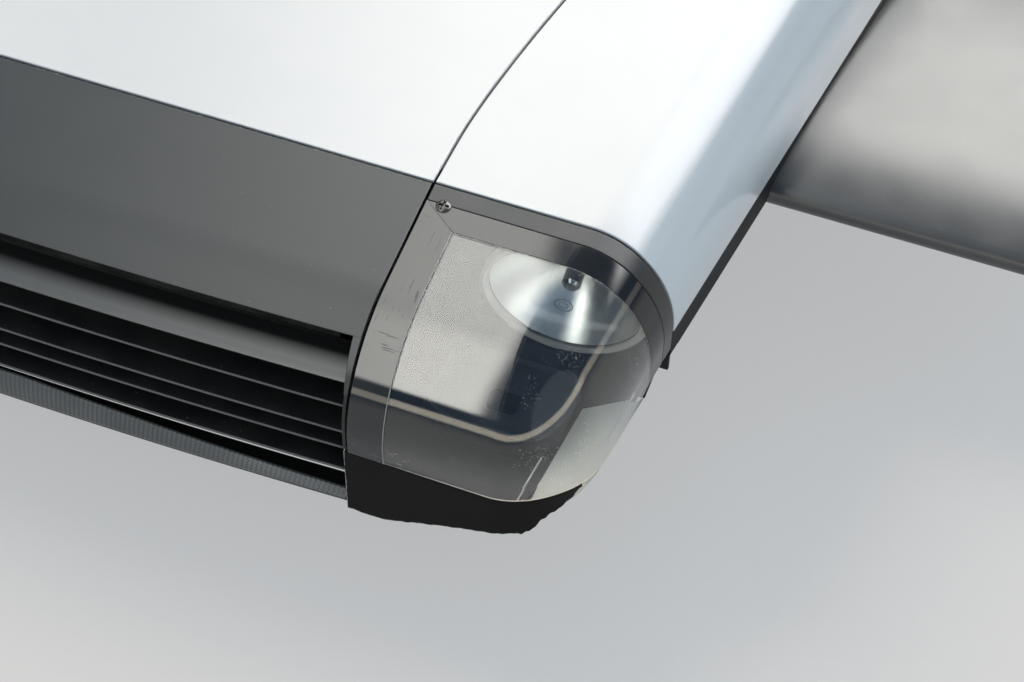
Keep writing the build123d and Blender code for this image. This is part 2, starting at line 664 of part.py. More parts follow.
def bulkhead():
    """Plate at the back with the bolt holes that hold the section to the car."""
    area = box_between((-WIDE, -BULKHEAD_WALL, z_at(FLOOR_DEPTH)), (WIDE, 0, 400))
    half = HALF_AT_LINE + math.tan(math.radians(SIDE_TAPER)) * -PANEL_LINE_Y
    bend = z_at(WHITE_EDGE_DEPTH + SILL_GAP + SILL_STRIP)
    side = [(half, 400), (half, bend), (half - SILL_TUCK, z_at(FLOOR_DEPTH))]
    outline = Polygon(*side, *[(-x, z) for x, z in reversed(side)], align=None)
    plate = UNDER_SKIN & area & extrude(Plane.XZ * outline, WIDE, both=True)
    for x in (-BOLT_SPACING[0] / 2, BOLT_SPACING[0] / 2):
        for z in (-BOLT_SPACING[1] / 2, BOLT_SPACING[1] / 2):
            plate -= Pos(x, 0, z) * Rot(90, 0, 0) * Cylinder(BOLT_HOLE_R, 40)
    return plate


def pieces():
    """Every piece by name; what is made on the left is mirrored for the right."""
    both_sides = {
        "fender_panel": fender_panel(),
        "lamp_surround": lamp_surround(),
        "lamp_cover": lamp_cover(),
        "chin_corner": chin_corner(),
        "sill": sill(),
        "seam_flange": seam_flange(),
        "grille_end_plate": end_plate(),
        "headlamp_ring": lamp_ring(),
        "headlamp_lens": lamp_lens(),
        "headlamp_reflector": lamp_reflector(),
        "headlamp_bulb": lamp_bulb(),
        "lamp_wall": lamp_wall(),
        "lamp_tray": lamp_tray(),
        "lamp_ledge": lamp_ledge(),
        "arm_fairing": arm_fairing(),
        "arm_spar": arm_spar(),
        "arm_tip_block": tip_block(),
        "chassis_rail": rail(),
    }
    found = {
        "bonnet_panel": bonnet_panel(),
        "nose_panel": nose_panel(),
        "grille_bar": grille_bar(),
        "grille_lip": grille_lip(),
        "grille_slats": Compound(children=[grille_slat(*edge) for edge in SLAT_EDGES]),
        "floor_pan": floor_pan(),
        "radiator_core": radiator(),
        "rear_bulkhead": bulkhead(),
        "cross_members": Compound(children=[cross_member(back) for back in CROSS_Y]),
    }
    for name, piece in both_sides.items():
        found[f"{name}_left"] = piece
        found[f"{name}_right"] = mirrored(piece)
    return found


os.makedirs("parts", exist_ok=True)
for name, piece in pieces().items():
    export_step(piece, f"parts/{name}.step")
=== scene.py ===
"""Nose section of a three-wheeled streamliner car, dressed for rendering.

The skins, lamps, grille and arm fairings are surfaces worked out here; the frame behind them keeps
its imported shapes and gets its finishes. Lengths inside the classes are millimetres in the part's own
frame, with +X the car's left, +Y its rear and +Z up.
"""

import logging
import math
from dataclasses import dataclass, field
from enum import Enum
from functools import reduce

import bpy
import numpy as np
from mathutils import Matrix

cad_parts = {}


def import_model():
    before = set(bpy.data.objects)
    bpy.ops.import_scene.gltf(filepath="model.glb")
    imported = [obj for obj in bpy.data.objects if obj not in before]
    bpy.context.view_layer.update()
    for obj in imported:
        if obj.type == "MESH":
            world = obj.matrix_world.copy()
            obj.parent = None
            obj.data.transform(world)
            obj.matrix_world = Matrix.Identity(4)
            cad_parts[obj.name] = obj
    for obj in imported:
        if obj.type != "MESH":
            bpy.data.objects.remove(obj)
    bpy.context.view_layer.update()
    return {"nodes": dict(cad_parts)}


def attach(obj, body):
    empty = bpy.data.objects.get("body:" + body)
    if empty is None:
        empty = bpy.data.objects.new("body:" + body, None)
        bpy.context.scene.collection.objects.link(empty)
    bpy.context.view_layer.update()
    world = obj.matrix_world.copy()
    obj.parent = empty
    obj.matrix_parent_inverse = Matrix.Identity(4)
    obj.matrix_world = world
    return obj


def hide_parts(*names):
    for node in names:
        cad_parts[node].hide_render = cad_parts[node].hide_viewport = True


Array = np.ndarray
Pair = tuple[float, float]
Triple = tuple[float, float, float]
Table = tuple[Pair, ...]
Counts = tuple[int, int, int]
Arrays = tuple[Array, Array]
ThreeArrays = tuple[Array, Array, Array]
Mark = tuple[Triple, Triple]
Caps = list[Arrays]
Socket = bpy.types.NodeSocket
Material = bpy.types.Material
Palette = dict[str, Material]

MM = 0.001
UP = np.array([0.0, 0.0, 1.0])
LOG = logging.getLogger("nose_section")
FAR = 99.0
TONE_SPAN = (0.35, 0.65)
# Near black that a finish with painted shade takes where its "lit" attribute is 0: painted shade.
PAINTED_SHADE_BLACK = (0.006, 0.006, 0.006, 1)


class Side(Enum):
    """The two sides of the car, with the sign of X on each."""

    LEFT = 1
    RIGHT = -1

    @property
    def label(self) -> str:
        """Side's name in a piece's name."""
        return self.name.lower()


class Zone(Enum):
    """Parts of a sheet that may take different materials."""

    OUTER = 0
    RIM = 1
    INNER = 2


def unit(vectors: Array) -> Array:
    """Vectors divided by their lengths, over the last axis."""
    lengths = np.linalg.norm(vectors, axis=-1, keepdims=True)
    return vectors / np.maximum(lengths, 1e-12)


def tinted(strength: float, tint: Triple) -> tuple[float, ...]:
    """Opaque colour: the tint times a strength."""
    return (*(strength * part for part in tint), 1)


def blend(start: float, end: float, share: Array) -> Array:
    """Values that go straight from start to end as share goes from 0 to 1."""
    return start + (end - start) * share


def smooth_curve(places: Array, table: Table) -> Array:
    """Smooth curve through the rows of a table.

    Each span is the cubic that has the rows' values and, at each row, the mean of the slopes of the
    spans beside it.

    Args:
        places: Where the curve is read, in the table's first column's units.
        table: Rows of place and value, with rising places.

    Returns:
        The curve's values.
    """
    at, value = np.array(table, float).T
    slope = np.diff(value) / np.diff(at)
    tangent = np.concatenate([slope[:1], (slope[1:] + slope[:-1]) / 2, slope[-1:]])
    span = np.clip(np.searchsorted(at, places, side="right") - 1, 0, len(at) - 2)
    wide = at[span + 1] - at[span]
    t = np.clip((places - at[span]) / wide, 0, 1)
    first = (2 * t**3 - 3 * t**2 + 1) * value[span] + (t**3 - 2 * t**2 + t) * wide * tangent[span]
    return first + (3 * t**2 - 2 * t**3) * value[span + 1] + (t**3 - t**2) * wide * tangent[span + 1]


def even_path(path: Array, count: int, end: float = 0.0) -> Array:
    """Points at even steps along a path.

    Args:
        path: The path's points.
        count: Number of new points.
        end: Length left out at the path's end.

    Returns:
        The new points.
    """
    length = np.concatenate([[0], np.cumsum(np.linalg.norm(np.diff(path, axis=0), axis=-1))])
    places = np.linspace(0, length[-1] - end, count)
    return np.stack([np.interp(places, length, path[:, i]) for i in range(3)], -1)


def grid_cells(rows: int, columns: int, ring_rows: bool = False, ring_columns: bool = False) -> Array:
    """Corner numbers of each cell of a grid whose points are counted row by row.

    Args:
        rows: Number of rows.
        columns: Number of columns.
        ring_rows: Whether the last row joins the first.
        ring_columns: Whether the last column joins the first.

    Returns:
        One row of four corner numbers a cell.
    """
    row, column = np.indices((rows - (not ring_rows), columns - (not ring_columns)))
    below, beside = (row + 1) % rows, (column + 1) % columns
    corners = [row * columns + column, below * columns + column,
               below * columns + beside, row * columns + beside]
    return np.stack(corners, -1).reshape(-1, 4)


def grid_normals(points: Array, towards: Array) -> Array:
    """Unit normals of a grid: the cross product of its two differences, turned to face like towards.

    Args:
        points: The grid.
        towards: Way that the normals face, one or one a point.

    Returns:
        The normals.
    """
    along, across = np.gradient(points, axis=0), np.gradient(points, axis=1)
    normals = unit(np.cross(along, across))
    return normals * np.sign(np.sum(normals * towards, -1, keepdims=True) + 1e-9)


@dataclass
class Surface:
    """Closed skin in millimetres.

    Each cell has four point numbers, four normals and a zone. Caps are flat faces that close ends,
    as point numbers and one normal each. Masks are named values, one a point.
    """

    points: Array
    cells: Array
    normals: Array
    zones: Array
    caps: Caps = field(default_factory=list)
    masks: dict[str, Array] = field(default_factory=dict)

    def outward(self) -> "Surface":
        """Turns each cell and cap round so that it faces the way its normals point.

        Returns:
            The skin itself.
        """
        p = self.points[self.cells]
        facing = np.cross(p[:, 2] - p[:, 0], p[:, 3] - p[:, 1])
        wrong = np.sum(facing * self.normals.mean(1), -1) < 0
        self.cells[wrong] = self.cells[wrong][:, ::-1]
        self.normals[wrong] = self.normals[wrong][:, ::-1]
        turned = []
        for ring, normal in self.caps:
            q = self.points[ring]
            area = np.cross(q - q.mean(0), np.roll(q, -1, 0) - q.mean(0)).sum(0)
            turned.append((ring if area @ normal > 0 else ring[::-1], normal))
        self.caps = turned
        return self

    def on_side(self, side: Side) -> "Surface":
        """Copy of a left-hand skin for one side of the car.

        Args:
            side: The side.

        Returns:
            The copy, mirrored on the right.
        """
        flip = np.array([side.value, 1.0, 1.0])
        caps = [(ring.copy(), normal * flip) for ring, normal in self.caps]
        return Surface(self.points * flip, self.cells.copy(), self.normals * flip,
                       self.zones.copy(), caps, dict(self.masks)).outward()

    def joined(self, other: "Surface") -> "Surface":
        """This skin and another of its kind in one.

        Args:
            other: The other skin.

        Returns:
            The joined skin.
        """
        count = len(self.points)
        caps = self.caps + [(ring + count, normal) for ring, normal in other.caps]
        masks = {name: np.concatenate([values, other.masks[name]]) for name, values in self.masks.items()}
        pairs = ((self.points, other.points), (self.cells, other.cells + count),
                 (self.normals, other.normals), (self.zones, other.zones))
        return Surface(*(np.concatenate(pair) for pair in pairs), caps, masks)


def grid_skin(points: Array, normals: Array, caps: Caps, ring_rows: bool = False,
              ring_columns: bool = True) -> Surface:
    """Closed skin of one zone from a grid that joins up on itself.

    Args:
        points: The grid.
        normals: Its normals.
        caps: Flat faces that close its ends.
        ring_rows: Whether the last row joins the first.
        ring_columns: Whether the last column joins the first.

    Returns:
        The skin.
    """
    cells = grid_cells(*points.shape[:2], ring_rows, ring_columns)
    return Surface(points.reshape(-1, 3), cells, normals.reshape(-1, 3)[cells],
                   np.zeros(len(cells), int), caps).outward()


def new_object(name: str, data: bpy.types.ID) -> bpy.types.Object:
    """Object that shows the data, in the scene.

    Args:
        name: Its name.
        data: What it shows.

    Returns:
        The object.
    """
    made = bpy.data.objects.new(name, data)
    bpy.context.scene.collection.objects.link(made)
    return made


def make_piece(name: str, surface: Surface, materials: list[Material],
               replaces: tuple[str, ...] = ()) -> None:
    """Puts a skin into a mesh object that rides on the car.

    Args:
        name: The piece's name.
        surface: Its skin, in millimetres.
        materials: Materials by zone number; the last serves any higher zone.
        replaces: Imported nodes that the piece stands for.
    """
    mesh = bpy.data.meshes.new(name)
    faces = surface.cells.tolist() + [ring.tolist() for ring, _ in surface.caps]
    mesh.from_pydata((surface.points * MM).tolist(), [], faces)
    for material in materials:
        mesh.materials.append(material)
    zones = np.concatenate([surface.zones, np.zeros(len(surface.caps), int)])
    mesh.polygons.foreach_set("material_index", np.minimum(zones, len(materials) - 1).astype(np.int32))
    mesh.polygons.foreach_set("use_smooth", np.ones(len(faces), bool))
    for key, values in surface.masks.items():
        mesh.attributes.new(key, "FLOAT", "POINT").data.foreach_set("value", values.astype(np.float32))
    mesh.update()
    ends = [np.repeat(normal[None], len(ring), 0) for ring, normal in surface.caps]
    corner_normals = np.concatenate([surface.normals.reshape(-1, 3), *ends])
    mesh.normals_split_custom_set(unit(corner_normals).tolist())
    piece = new_object(name, mesh)
    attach(piece, "root")
    if replaces:
        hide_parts(*replaces)
    LOG.info("%s: %d points, %d faces", name, len(mesh.vertices), len(mesh.polygons))


def pose(right: Array, up: Array, back: Array, at: Array) -> Matrix:
    """Matrix of an object at a place, its own X, Y and Z along right, up and back."""
    return Matrix([*np.stack([right, up, back, at], -1).tolist(), [0, 0, 0, 1]])


def make_pairs(parts: tuple[tuple[str, Surface, list[Material], str, str], ...]) -> None:
    """Makes left-hand skins and their mirror images, all of the left and then all of the right.

    Args:
        parts: Name, skin, materials, slot and replaced node of each, where the names and nodes lack
            their sides and a node may be empty.
    """
    for side in Side:
        for name, surface, materials, slot, node in parts:
            stands_for = (f"{node}_{side.label}",) if node else ()
            make_piece(f"{name}_{side.label}", surface.on_side(side), materials, stands_for)


def rolled_border(count: int, roll: float, steps: int = 3) -> ThreeArrays:
    """Rows of a grid with its first and last repeated for a rolled border.

    Args:
        count: Number of the grid's rows.
        roll: Radius of the border.
        steps: Arcs in the border.

    Returns:
        For each new row, the old row's number, the angle a that it is turned by, from a right angle
        at the border to 0, and how far it moves in, roll*(1 - sin a).
    """
    turn = np.linspace(math.pi / 2, 0, steps + 1)
    under = np.concatenate([np.zeros(steps + 1, int), np.arange(1, count - 1), np.full(steps + 1, count - 1)])
    angle = np.concatenate([turn, np.zeros(count - 2), turn[::-1]])
    inset = roll * (1 - np.sin(angle))
    inset[steps + 1:-steps - 1] = 0
    return under, angle, inset


def inward_ways(points: Array, normals: Array, axis: int) -> Array:
    """Unit ways that lead in from a grid's border: the cross product of the border and the normal.

    Args:
        points: The grid.
        normals: Its unit normals.
        axis: 0 for the first and last rows, 1 for the first and last columns.

    Returns:
        The way in from the nearer border, at each point.
    """
    way = np.cross(unit(np.gradient(points, axis=1 - axis)), normals)
    step = np.gradient(points, axis=axis)
    flip = np.sign(np.sum(way * step, -1, keepdims=True) + 1e-9)
    count = points.shape[axis]
    later = np.expand_dims(np.arange(count) >= count // 2, (1, 2) if axis == 0 else (0, 2))
    return way * flip * np.where(later, -1.0, 1.0)


def sheet(points: Array, normals: Array, wall: float, roll: float,
          worn: tuple[bool, bool, bool, bool] = (True, True, True, True)) -> Surface:
    """Closed sheet under a grid of points, its border rolled over.

    Near a border the outer face moves in by roll*(1 - sin a) and down by roll*(1 - cos a) as a goes
    from 0 to a right angle. An upright wall then drops to the inner face, which is the grid moved
    down by the wall.

    Args:
        points: Grid of the outer face.
        normals: Its unit normals.
        wall: Thickness.
        roll: Radius of the rolled border.
        worn: Whether the first and last rows and the first and last columns are borders that wear.

    Returns:
        The sheet, with its outer, rim and inner zones, and the distance to a worn border as a mask.
    """
    under_r, angle_r, inset_r = rolled_border(points.shape[0], roll)
    under_c, angle_c, inset_c = rolled_border(points.shape[1], roll)
    take = np.ix_(under_r, under_c)
    base, up = points[take], normals[take]
    in_r, in_c = (inward_ways(points, normals, axis)[take] for axis in (0, 1))
    a_r, a_c = angle_r[:, None, None], angle_c[None, :, None]
    outer = base + in_r * inset_r[:, None, None] + in_c * inset_c[None, :, None]
    down = roll * (1 - np.cos(a_r) * np.cos(a_c))
    outer_normals = unit(up * np.cos(a_r) * np.cos(a_c) - in_r * np.sin(a_r) - in_c * np.sin(a_c))
    inner = outer - up * wall
    outer = outer - up * down
    n_r, n_c = outer.shape[:2]
    number = np.arange(n_r * n_c).reshape(n_r, n_c)
    ring = np.concatenate([number[0, :-1], number[:-1, -1], number[-1, :0:-1], number[:0:-1, 0]])
    beside = np.roll(ring, -1)
    cells = grid_cells(n_r, n_c)
    wall_cells = np.stack([ring, beside, beside + n_r * n_c, ring + n_r * n_c], -1)
    flat_outer, flat_up = outer_normals.reshape(-1, 3), up.reshape(-1, 3)
    wall_normals = flat_outer[np.stack([ring, beside, beside, ring], -1)]
    wall_up = flat_up[np.stack([ring, beside, beside, ring], -1)]
    wall_normals = unit(wall_normals - wall_up * np.sum(wall_normals * wall_up, -1, keepdims=True))
    rolled = (np.maximum(angle_r[:, None], angle_c[None, :]) > 0).reshape(-1)
    zones = np.where(rolled[cells].any(1) & (rolled[cells].sum(1) >= 3), Zone.RIM.value, Zone.OUTER.value)
    edges = [points[:1], points[-1:], points[:, :1], points[:, -1:]]
    near = [np.linalg.norm(points - edge, axis=-1) for edge, wears in zip(edges, worn) if wears]
    rim = np.min([*near, np.full(points.shape[:2], FAR)], 0)[take].reshape(-1)
    return Surface(
        np.concatenate([outer.reshape(-1, 3), inner.reshape(-1, 3)]),
        np.concatenate([cells, wall_cells, cells + n_r * n_c]),
        np.concatenate([flat_outer[cells], wall_normals, -flat_up[cells]]),
        np.concatenate([zones, np.full(len(wall_cells), Zone.RIM.value),
                        np.full(len(cells), Zone.INNER.value)]),
        masks={"rim": np.concatenate([rim, rim])},
    ).outward()


def level_sheet(x: Array, y: Array, z: float, wall: float, roll: float) -> Surface:
    """Level sheet whose upper face is at height z over a grid of x and y."""
    points = np.stack([x, y, np.full(x.shape, z)], -1)
    return sheet(points, np.broadcast_to(UP, points.shape), wall, roll)


def outline_loop(corners: Array, radius: float, steps: int = 4) -> Arrays:
    """Closed outline with its sharp corners turned by small arcs.

    A corner that turns by more than 25 degrees gets an arc tangent to both of its sides. Any other
    keeps its place and gets the mean of the normals beside it.

    Args:
        corners: Corner points in a plane.
        radius: Radius of the arcs, made smaller on short sides.
        steps: Spans in each arc.

    Returns:
        Points of the outline and their outward normals, going round anticlockwise.
    """
    before, after = np.roll(corners, 1, 0), np.roll(corners, -1, 0)
    if np.sum(corners[:, 0] * after[:, 1] - after[:, 0] * corners[:, 1]) < 0:
        return outline_loop(corners[::-1], radius, steps)
    come, go = unit(corners - before), unit(after - corners)
    turn = np.arctan2(come[:, 0] * go[:, 1] - come[:, 1] * go[:, 0], np.sum(come * go, -1))
    sharp = np.abs(turn) > math.radians(25)
    room = np.minimum(np.linalg.norm(corners - before, axis=-1), np.linalg.norm(after - corners, axis=-1))
    tangent = np.minimum(radius * np.tan(np.abs(turn) / 2), 0.45 * room)
    bend = np.where(sharp, tangent / np.maximum(np.tan(np.abs(turn) / 2), 1e-9), 0)
    way = np.sign(turn)[:, None]
    first = np.stack([come[:, 1], -come[:, 0]], -1)
    start = corners - come * (tangent * sharp)[:, None]
    centre = start - first * bend[:, None] * way
    angle = turn[:, None] * np.linspace(0, 1, steps + 1)[None]
    cos, sin = np.cos(angle), np.sin(angle)
    normals = np.stack([first[:, :1] * cos - first[:, 1:] * sin, first[:, :1] * sin + first[:, 1:] * cos], -1)
    points = centre[:, None] + normals * (bend[:, None] * way)[:, None]
    keep = sharp[:, None] | (np.arange(steps + 1) == steps // 2)[None]
    return points[keep], unit(normals[keep])


def end_caps(rows: int, columns: int) -> Caps:
    """Flat ends for a bar along X, whose grid has a row for each station."""
    return [(np.arange(columns), np.array([-1.0, 0, 0])),
            (np.arange(columns) + (rows - 1) * columns, np.array([1.0, 0, 0]))]


def carried(loop: Array, loop_normals: Array, places: Array, shift: Array,
            inset: Array | None = None, tilt: Array | None = None) -> Surface:
    """Closed bar: an outline in side view carried along X.

    The point for place x and outline point i is (x, y_i + shift_y - inset*n_y, z_i + shift_z -
    inset*n_z), and its normal leans from the outline's towards X by tilt.

    Args:
        loop: Outline points as (y, z).
        loop_normals: Their outward normals.
        places: X of each station.
        shift: Side-view shift of each station.
        inset: How far each station's outline is drawn in.
        tilt: Lean of each station's normals, in radians.

    Returns:
        The bar, capped at both ends.
    """
    inset = np.zeros(len(places)) if inset is None else inset
    tilt = np.zeros(len(places)) if tilt is None else tilt
    side_view = loop[None] - loop_normals[None] * inset[:, None, None] + shift[:, None]
    rows, columns = side_view.shape[:2]
    x = np.broadcast_to(places[:, None, None], (rows, columns, 1))
    points = np.concatenate([x, side_view], -1)
    normals = np.concatenate([
        np.broadcast_to(np.sin(tilt)[:, None, None], (rows, columns, 1)),
        loop_normals[None] * np.cos(tilt)[:, None, None],
    ], -1)
    return grid_skin(points, normals, end_caps(rows, columns))


@dataclass(frozen=True)
class Axis:
    """Axis that something is turned about."""

    origin: Array
    across: Array
    facing: Array

    def turned(self, outline: Array, normals: Array, closed: bool = True, steps: int = 96) -> Surface:
        """Skin made by turning an outline of (radius, forward) points about the axis.

        Args:
            outline: Points of the outline.
            normals: Their normals, in the same terms.
            closed: Whether the outline's last point joins its first; if not, both ends are capped.
            steps: Steps round the axis.

        Returns:
            The turned skin.
        """
        up = np.cross(self.facing, self.across)
        turn = np.linspace(0, 2 * math.pi, steps, endpoint=False)
        spokes = np.cos(turn)[:, None] * self.across + np.sin(turn)[:, None] * up
        round_axis, ways = (pairs[None, :, :1] * spokes[:, None] + pairs[None, :, 1:] * self.facing
                            for pairs in (outline, normals))
        rings = np.arange(steps) * len(outline)
        caps = [] if closed else [(rings, self.facing * np.sign(normals[0, 1] or 1)),
                                  (rings + len(outline) - 1, self.facing * np.sign(normals[-1, 1] or 1))]
        return grid_skin(self.origin + round_axis, ways, caps, True, closed)


def bend_shares(counts: Counts) -> ThreeArrays:
    """Shares along a flat, angles round a bend and shares down from it, with that many spans each."""
    return (np.linspace(0, 1, counts[0] + 1)[:-1], np.linspace(0, math.pi / 2, counts[1] + 1),
            np.linspace(0, 1, counts[2] + 1)[1:])


def bend_ways(counts: Counts) -> Arrays:
    """Outward and upward parts of the ways that stand square on a flat, a bend and the fall from it.

    Args:
        counts: Spans on each.

    Returns:
        Outward parts, 0, sine of the angle and 1, and upward parts, 1, its cosine and 0.
    """
    flat, turn, fall = bend_shares(counts)
    return (np.concatenate([0 * flat, np.sin(turn), 1 + 0 * fall]),
            np.concatenate([1 + 0 * flat, np.cos(turn), 0 * fall]))


@dataclass(frozen=True)
class Body:
    """The nose block's outer form: three planes with ellipsoid corners and edges.

    A point of it is found in a space stretched so that the ellipsoid is a ball: there the form is
    all points at the ball's radius from the block whose planes stand that radius further in.
    """

    line_y: float = -640.0
    top_z: float = 55.0
    seam_x: float = 335.0
    half: float = 559.0
    reach: float = 206.5
    reach_depth: float = 126.0
    slope: float = 5.8
    lean: float = 2.2
    taper: float = 8.0
    across: float = 82.0
    along: float = 109.0
    down: float = 105.0
    clear_of: float = 8.0
    passes: int = 30
    newton_steps: int = 12
    least_rate: float = 0.05

    def top(self, y: Array) -> Array:
        """Height of the top plane at y."""
        return self.top_z + math.tan(math.radians(self.slope)) * (y - self.line_y)

    def side(self, y: Array) -> Array:
        """Half width at y."""
        return self.half + math.tan(math.radians(self.taper)) * (y - self.line_y)

    def front(self, z: Array) -> Array:
        """Y of the front plane at height z."""
        lean = math.tan(math.radians(self.lean))
        return self.line_y - self.reach + lean * (z - self.top_z + self.reach_depth)

    def _offset(self, points: Array) -> Arrays:
        """Vector from the inner block to each point in the stretched space, and the stretch.

        Args:
            points: The points.

        Returns:
            The vectors, in the stretched space, and the stretch of each axis.
        """
        stretch = np.array([self.across, self.along, self.down]) / self.along
        s, l, t = (math.radians(v) for v in (self.slope, self.lean, self.taper))
        planes = np.array([[0, -math.sin(s), math.cos(s)], [0, -math.cos(l), math.sin(l)],
                           [math.cos(t), -math.sin(t), 0]])
        on = np.array([[0, self.line_y, self.top_z],
                       [0, self.line_y - self.reach, self.top_z - self.reach_depth],
                       [self.half, self.line_y, 0]])
        level = np.sum(planes * on, -1)
        planes = planes * stretch
        scale = np.linalg.norm(planes, axis=-1)
        planes, level = planes / scale[:, None], level / scale - self.along
        over = (points / stretch) @ planes.T - level
        gram = planes @ planes.T
        pull = np.zeros_like(over)
        for _ in range(self.passes):
            for i in range(3):
                others = pull @ gram[i] - pull[..., i]
                pull[..., i] = np.maximum(0, over[..., i] - others)
        return pull @ planes, stretch

    def onto(self, base: Array, way: Array) -> Arrays:
        """Moves points along fixed ways until they lie on the form, by Newton's steps.

        Args:
            base: Points outside the inner block, near the form.
            way: Directions that they may move in.

        Returns:
            Points on the form and its unit normals there.
        """
        base, way = (a.astype(float) for a in np.broadcast_arrays(base, way))
        points = base.copy()
        for _ in range(self.newton_steps):
            offset, stretch = self._offset(points)
            gap = np.linalg.norm(offset, axis=-1) - self.along
            rate = np.sum(unit(offset) * way / stretch, -1)
            rate = np.where(np.abs(rate) < self.least_rate, self.least_rate, rate)
            points = points - way * (gap / rate)[..., None]
        offset, stretch = self._offset(points)
        return points, unit(unit(offset) / stretch)

    def nearest(self, points: Array) -> Arrays:
        """Points of the form straight under or over the given ones, in the stretched space.

        Args:
            points: Points near the form.

        Returns:
            Points on the form and its unit normals there.
        """
        offset, stretch = self._offset(points)
        length = np.linalg.norm(offset, axis=-1, keepdims=True)
        moved = points + offset * stretch * (self.along / np.maximum(length, 1e-9) - 1)
        return moved, unit(unit(offset) / stretch)

    def over_shoulder(self, y: Array, start_x: Array, end_z: Array, counts: Counts) -> Arrays:
        """Grid with one row for each y, from start_x on the top, round the shoulder, down to end_z.

        Args:
            y: Y of each row.
            start_x: Where each row starts on the top.
            end_z: Height at which each row ends on the side.
            counts: Spans on the top, round the shoulder and on the side.

        Returns:
            Points and normals.
        """
        y, start_x, end_z = (np.broadcast_to(v, y.shape)[:, None] for v in (y, start_x, end_z))
        centre_x, centre_z = self.side(y) - self.across - 1, self.top(y) - self.down
        flat, turn, fall = bend_shares(counts)
        x = [blend(start_x, centre_x, flat), centre_x + (self.across + self.clear_of) * np.sin(turn),
             self.side(y) + 0 * fall]
        z = [self.top(y) + 0 * flat, centre_z + self.down * np.cos(turn), blend(centre_z, end_z, fall)]
        x, z = (np.concatenate(v, 1) for v in (x, z))
        out, up = bend_ways(counts)
        base = np.stack([x, np.broadcast_to(y, x.shape), z], -1)
        return self.onto(base, np.stack([out, 0 * out, up], -1))

    def over_nose(self, x: Array, start_y: Array, end_z: Array, counts: Counts) -> Arrays:
        """Grid with one row for each x, from start_y on the top, round the nose, down to end_z.

        Args:
            x: X of each row.
            start_y: Where each row starts on the top.
            end_z: Height at which each row ends on the front.
            counts: Spans on the top, round the nose and on the front.

        Returns:
            Points and normals.
        """
        x, start_y, end_z = (np.broadcast_to(v, x.shape)[:, None] for v in (x, start_y, end_z))
        centre_y = self.front(self.top_z) + self.along
        centre_z = self.top(centre_y) - self.down
        flat, turn, fall = bend_shares(counts)
        down_z = blend(centre_z, end_z, fall)
        bend_y = centre_y - self.along * np.sin(turn) + 0 * x
        y = [blend(start_y, centre_y, flat), bend_y, self.front(down_z)]
        z = [self.top(y[0]), centre_z + self.down * np.cos(turn) + 0 * x, down_z]
        y, z = (np.concatenate(v, 1) for v in (y, z))
        out, up = bend_ways(counts)
        base = np.stack([np.broadcast_to(x, y.shape), y, z], -1)
        return self.onto(base, np.stack([0 * out, -out, up], -1))

    def round_corner(self, start_x: float, end_y: float, counts: Counts) -> Arrays:
        """Plan path from start_x on the front, round the corner, back to end_y on the side.

        Args:
            start_x: Where the path starts.
            end_y: Where it ends.
            counts: Spans on the front, round the corner and on the side.

        Returns:
            Starting points and the level directions that carry them onto the form.
        """
        z = self.top_z - self.reach_depth
        centre_y = self.front(z) + self.along
        centre_x = self.side(centre_y) - self.across
        flat, turn, back = bend_shares(counts)
        side_y = blend(centre_y, end_y, back)
        x = np.concatenate([blend(start_x, centre_x, flat), centre_x + self.across * np.sin(turn),
                            self.side(side_y)])
        y = np.concatenate([self.front(z) + 0 * flat, centre_y - self.along * np.cos(turn), side_y])
        out, ahead = bend_ways(counts)
        return np.stack([x, y, 0 * x + z], -1), np.stack([out, -ahead, 0 * x], -1)


BODY = Body()


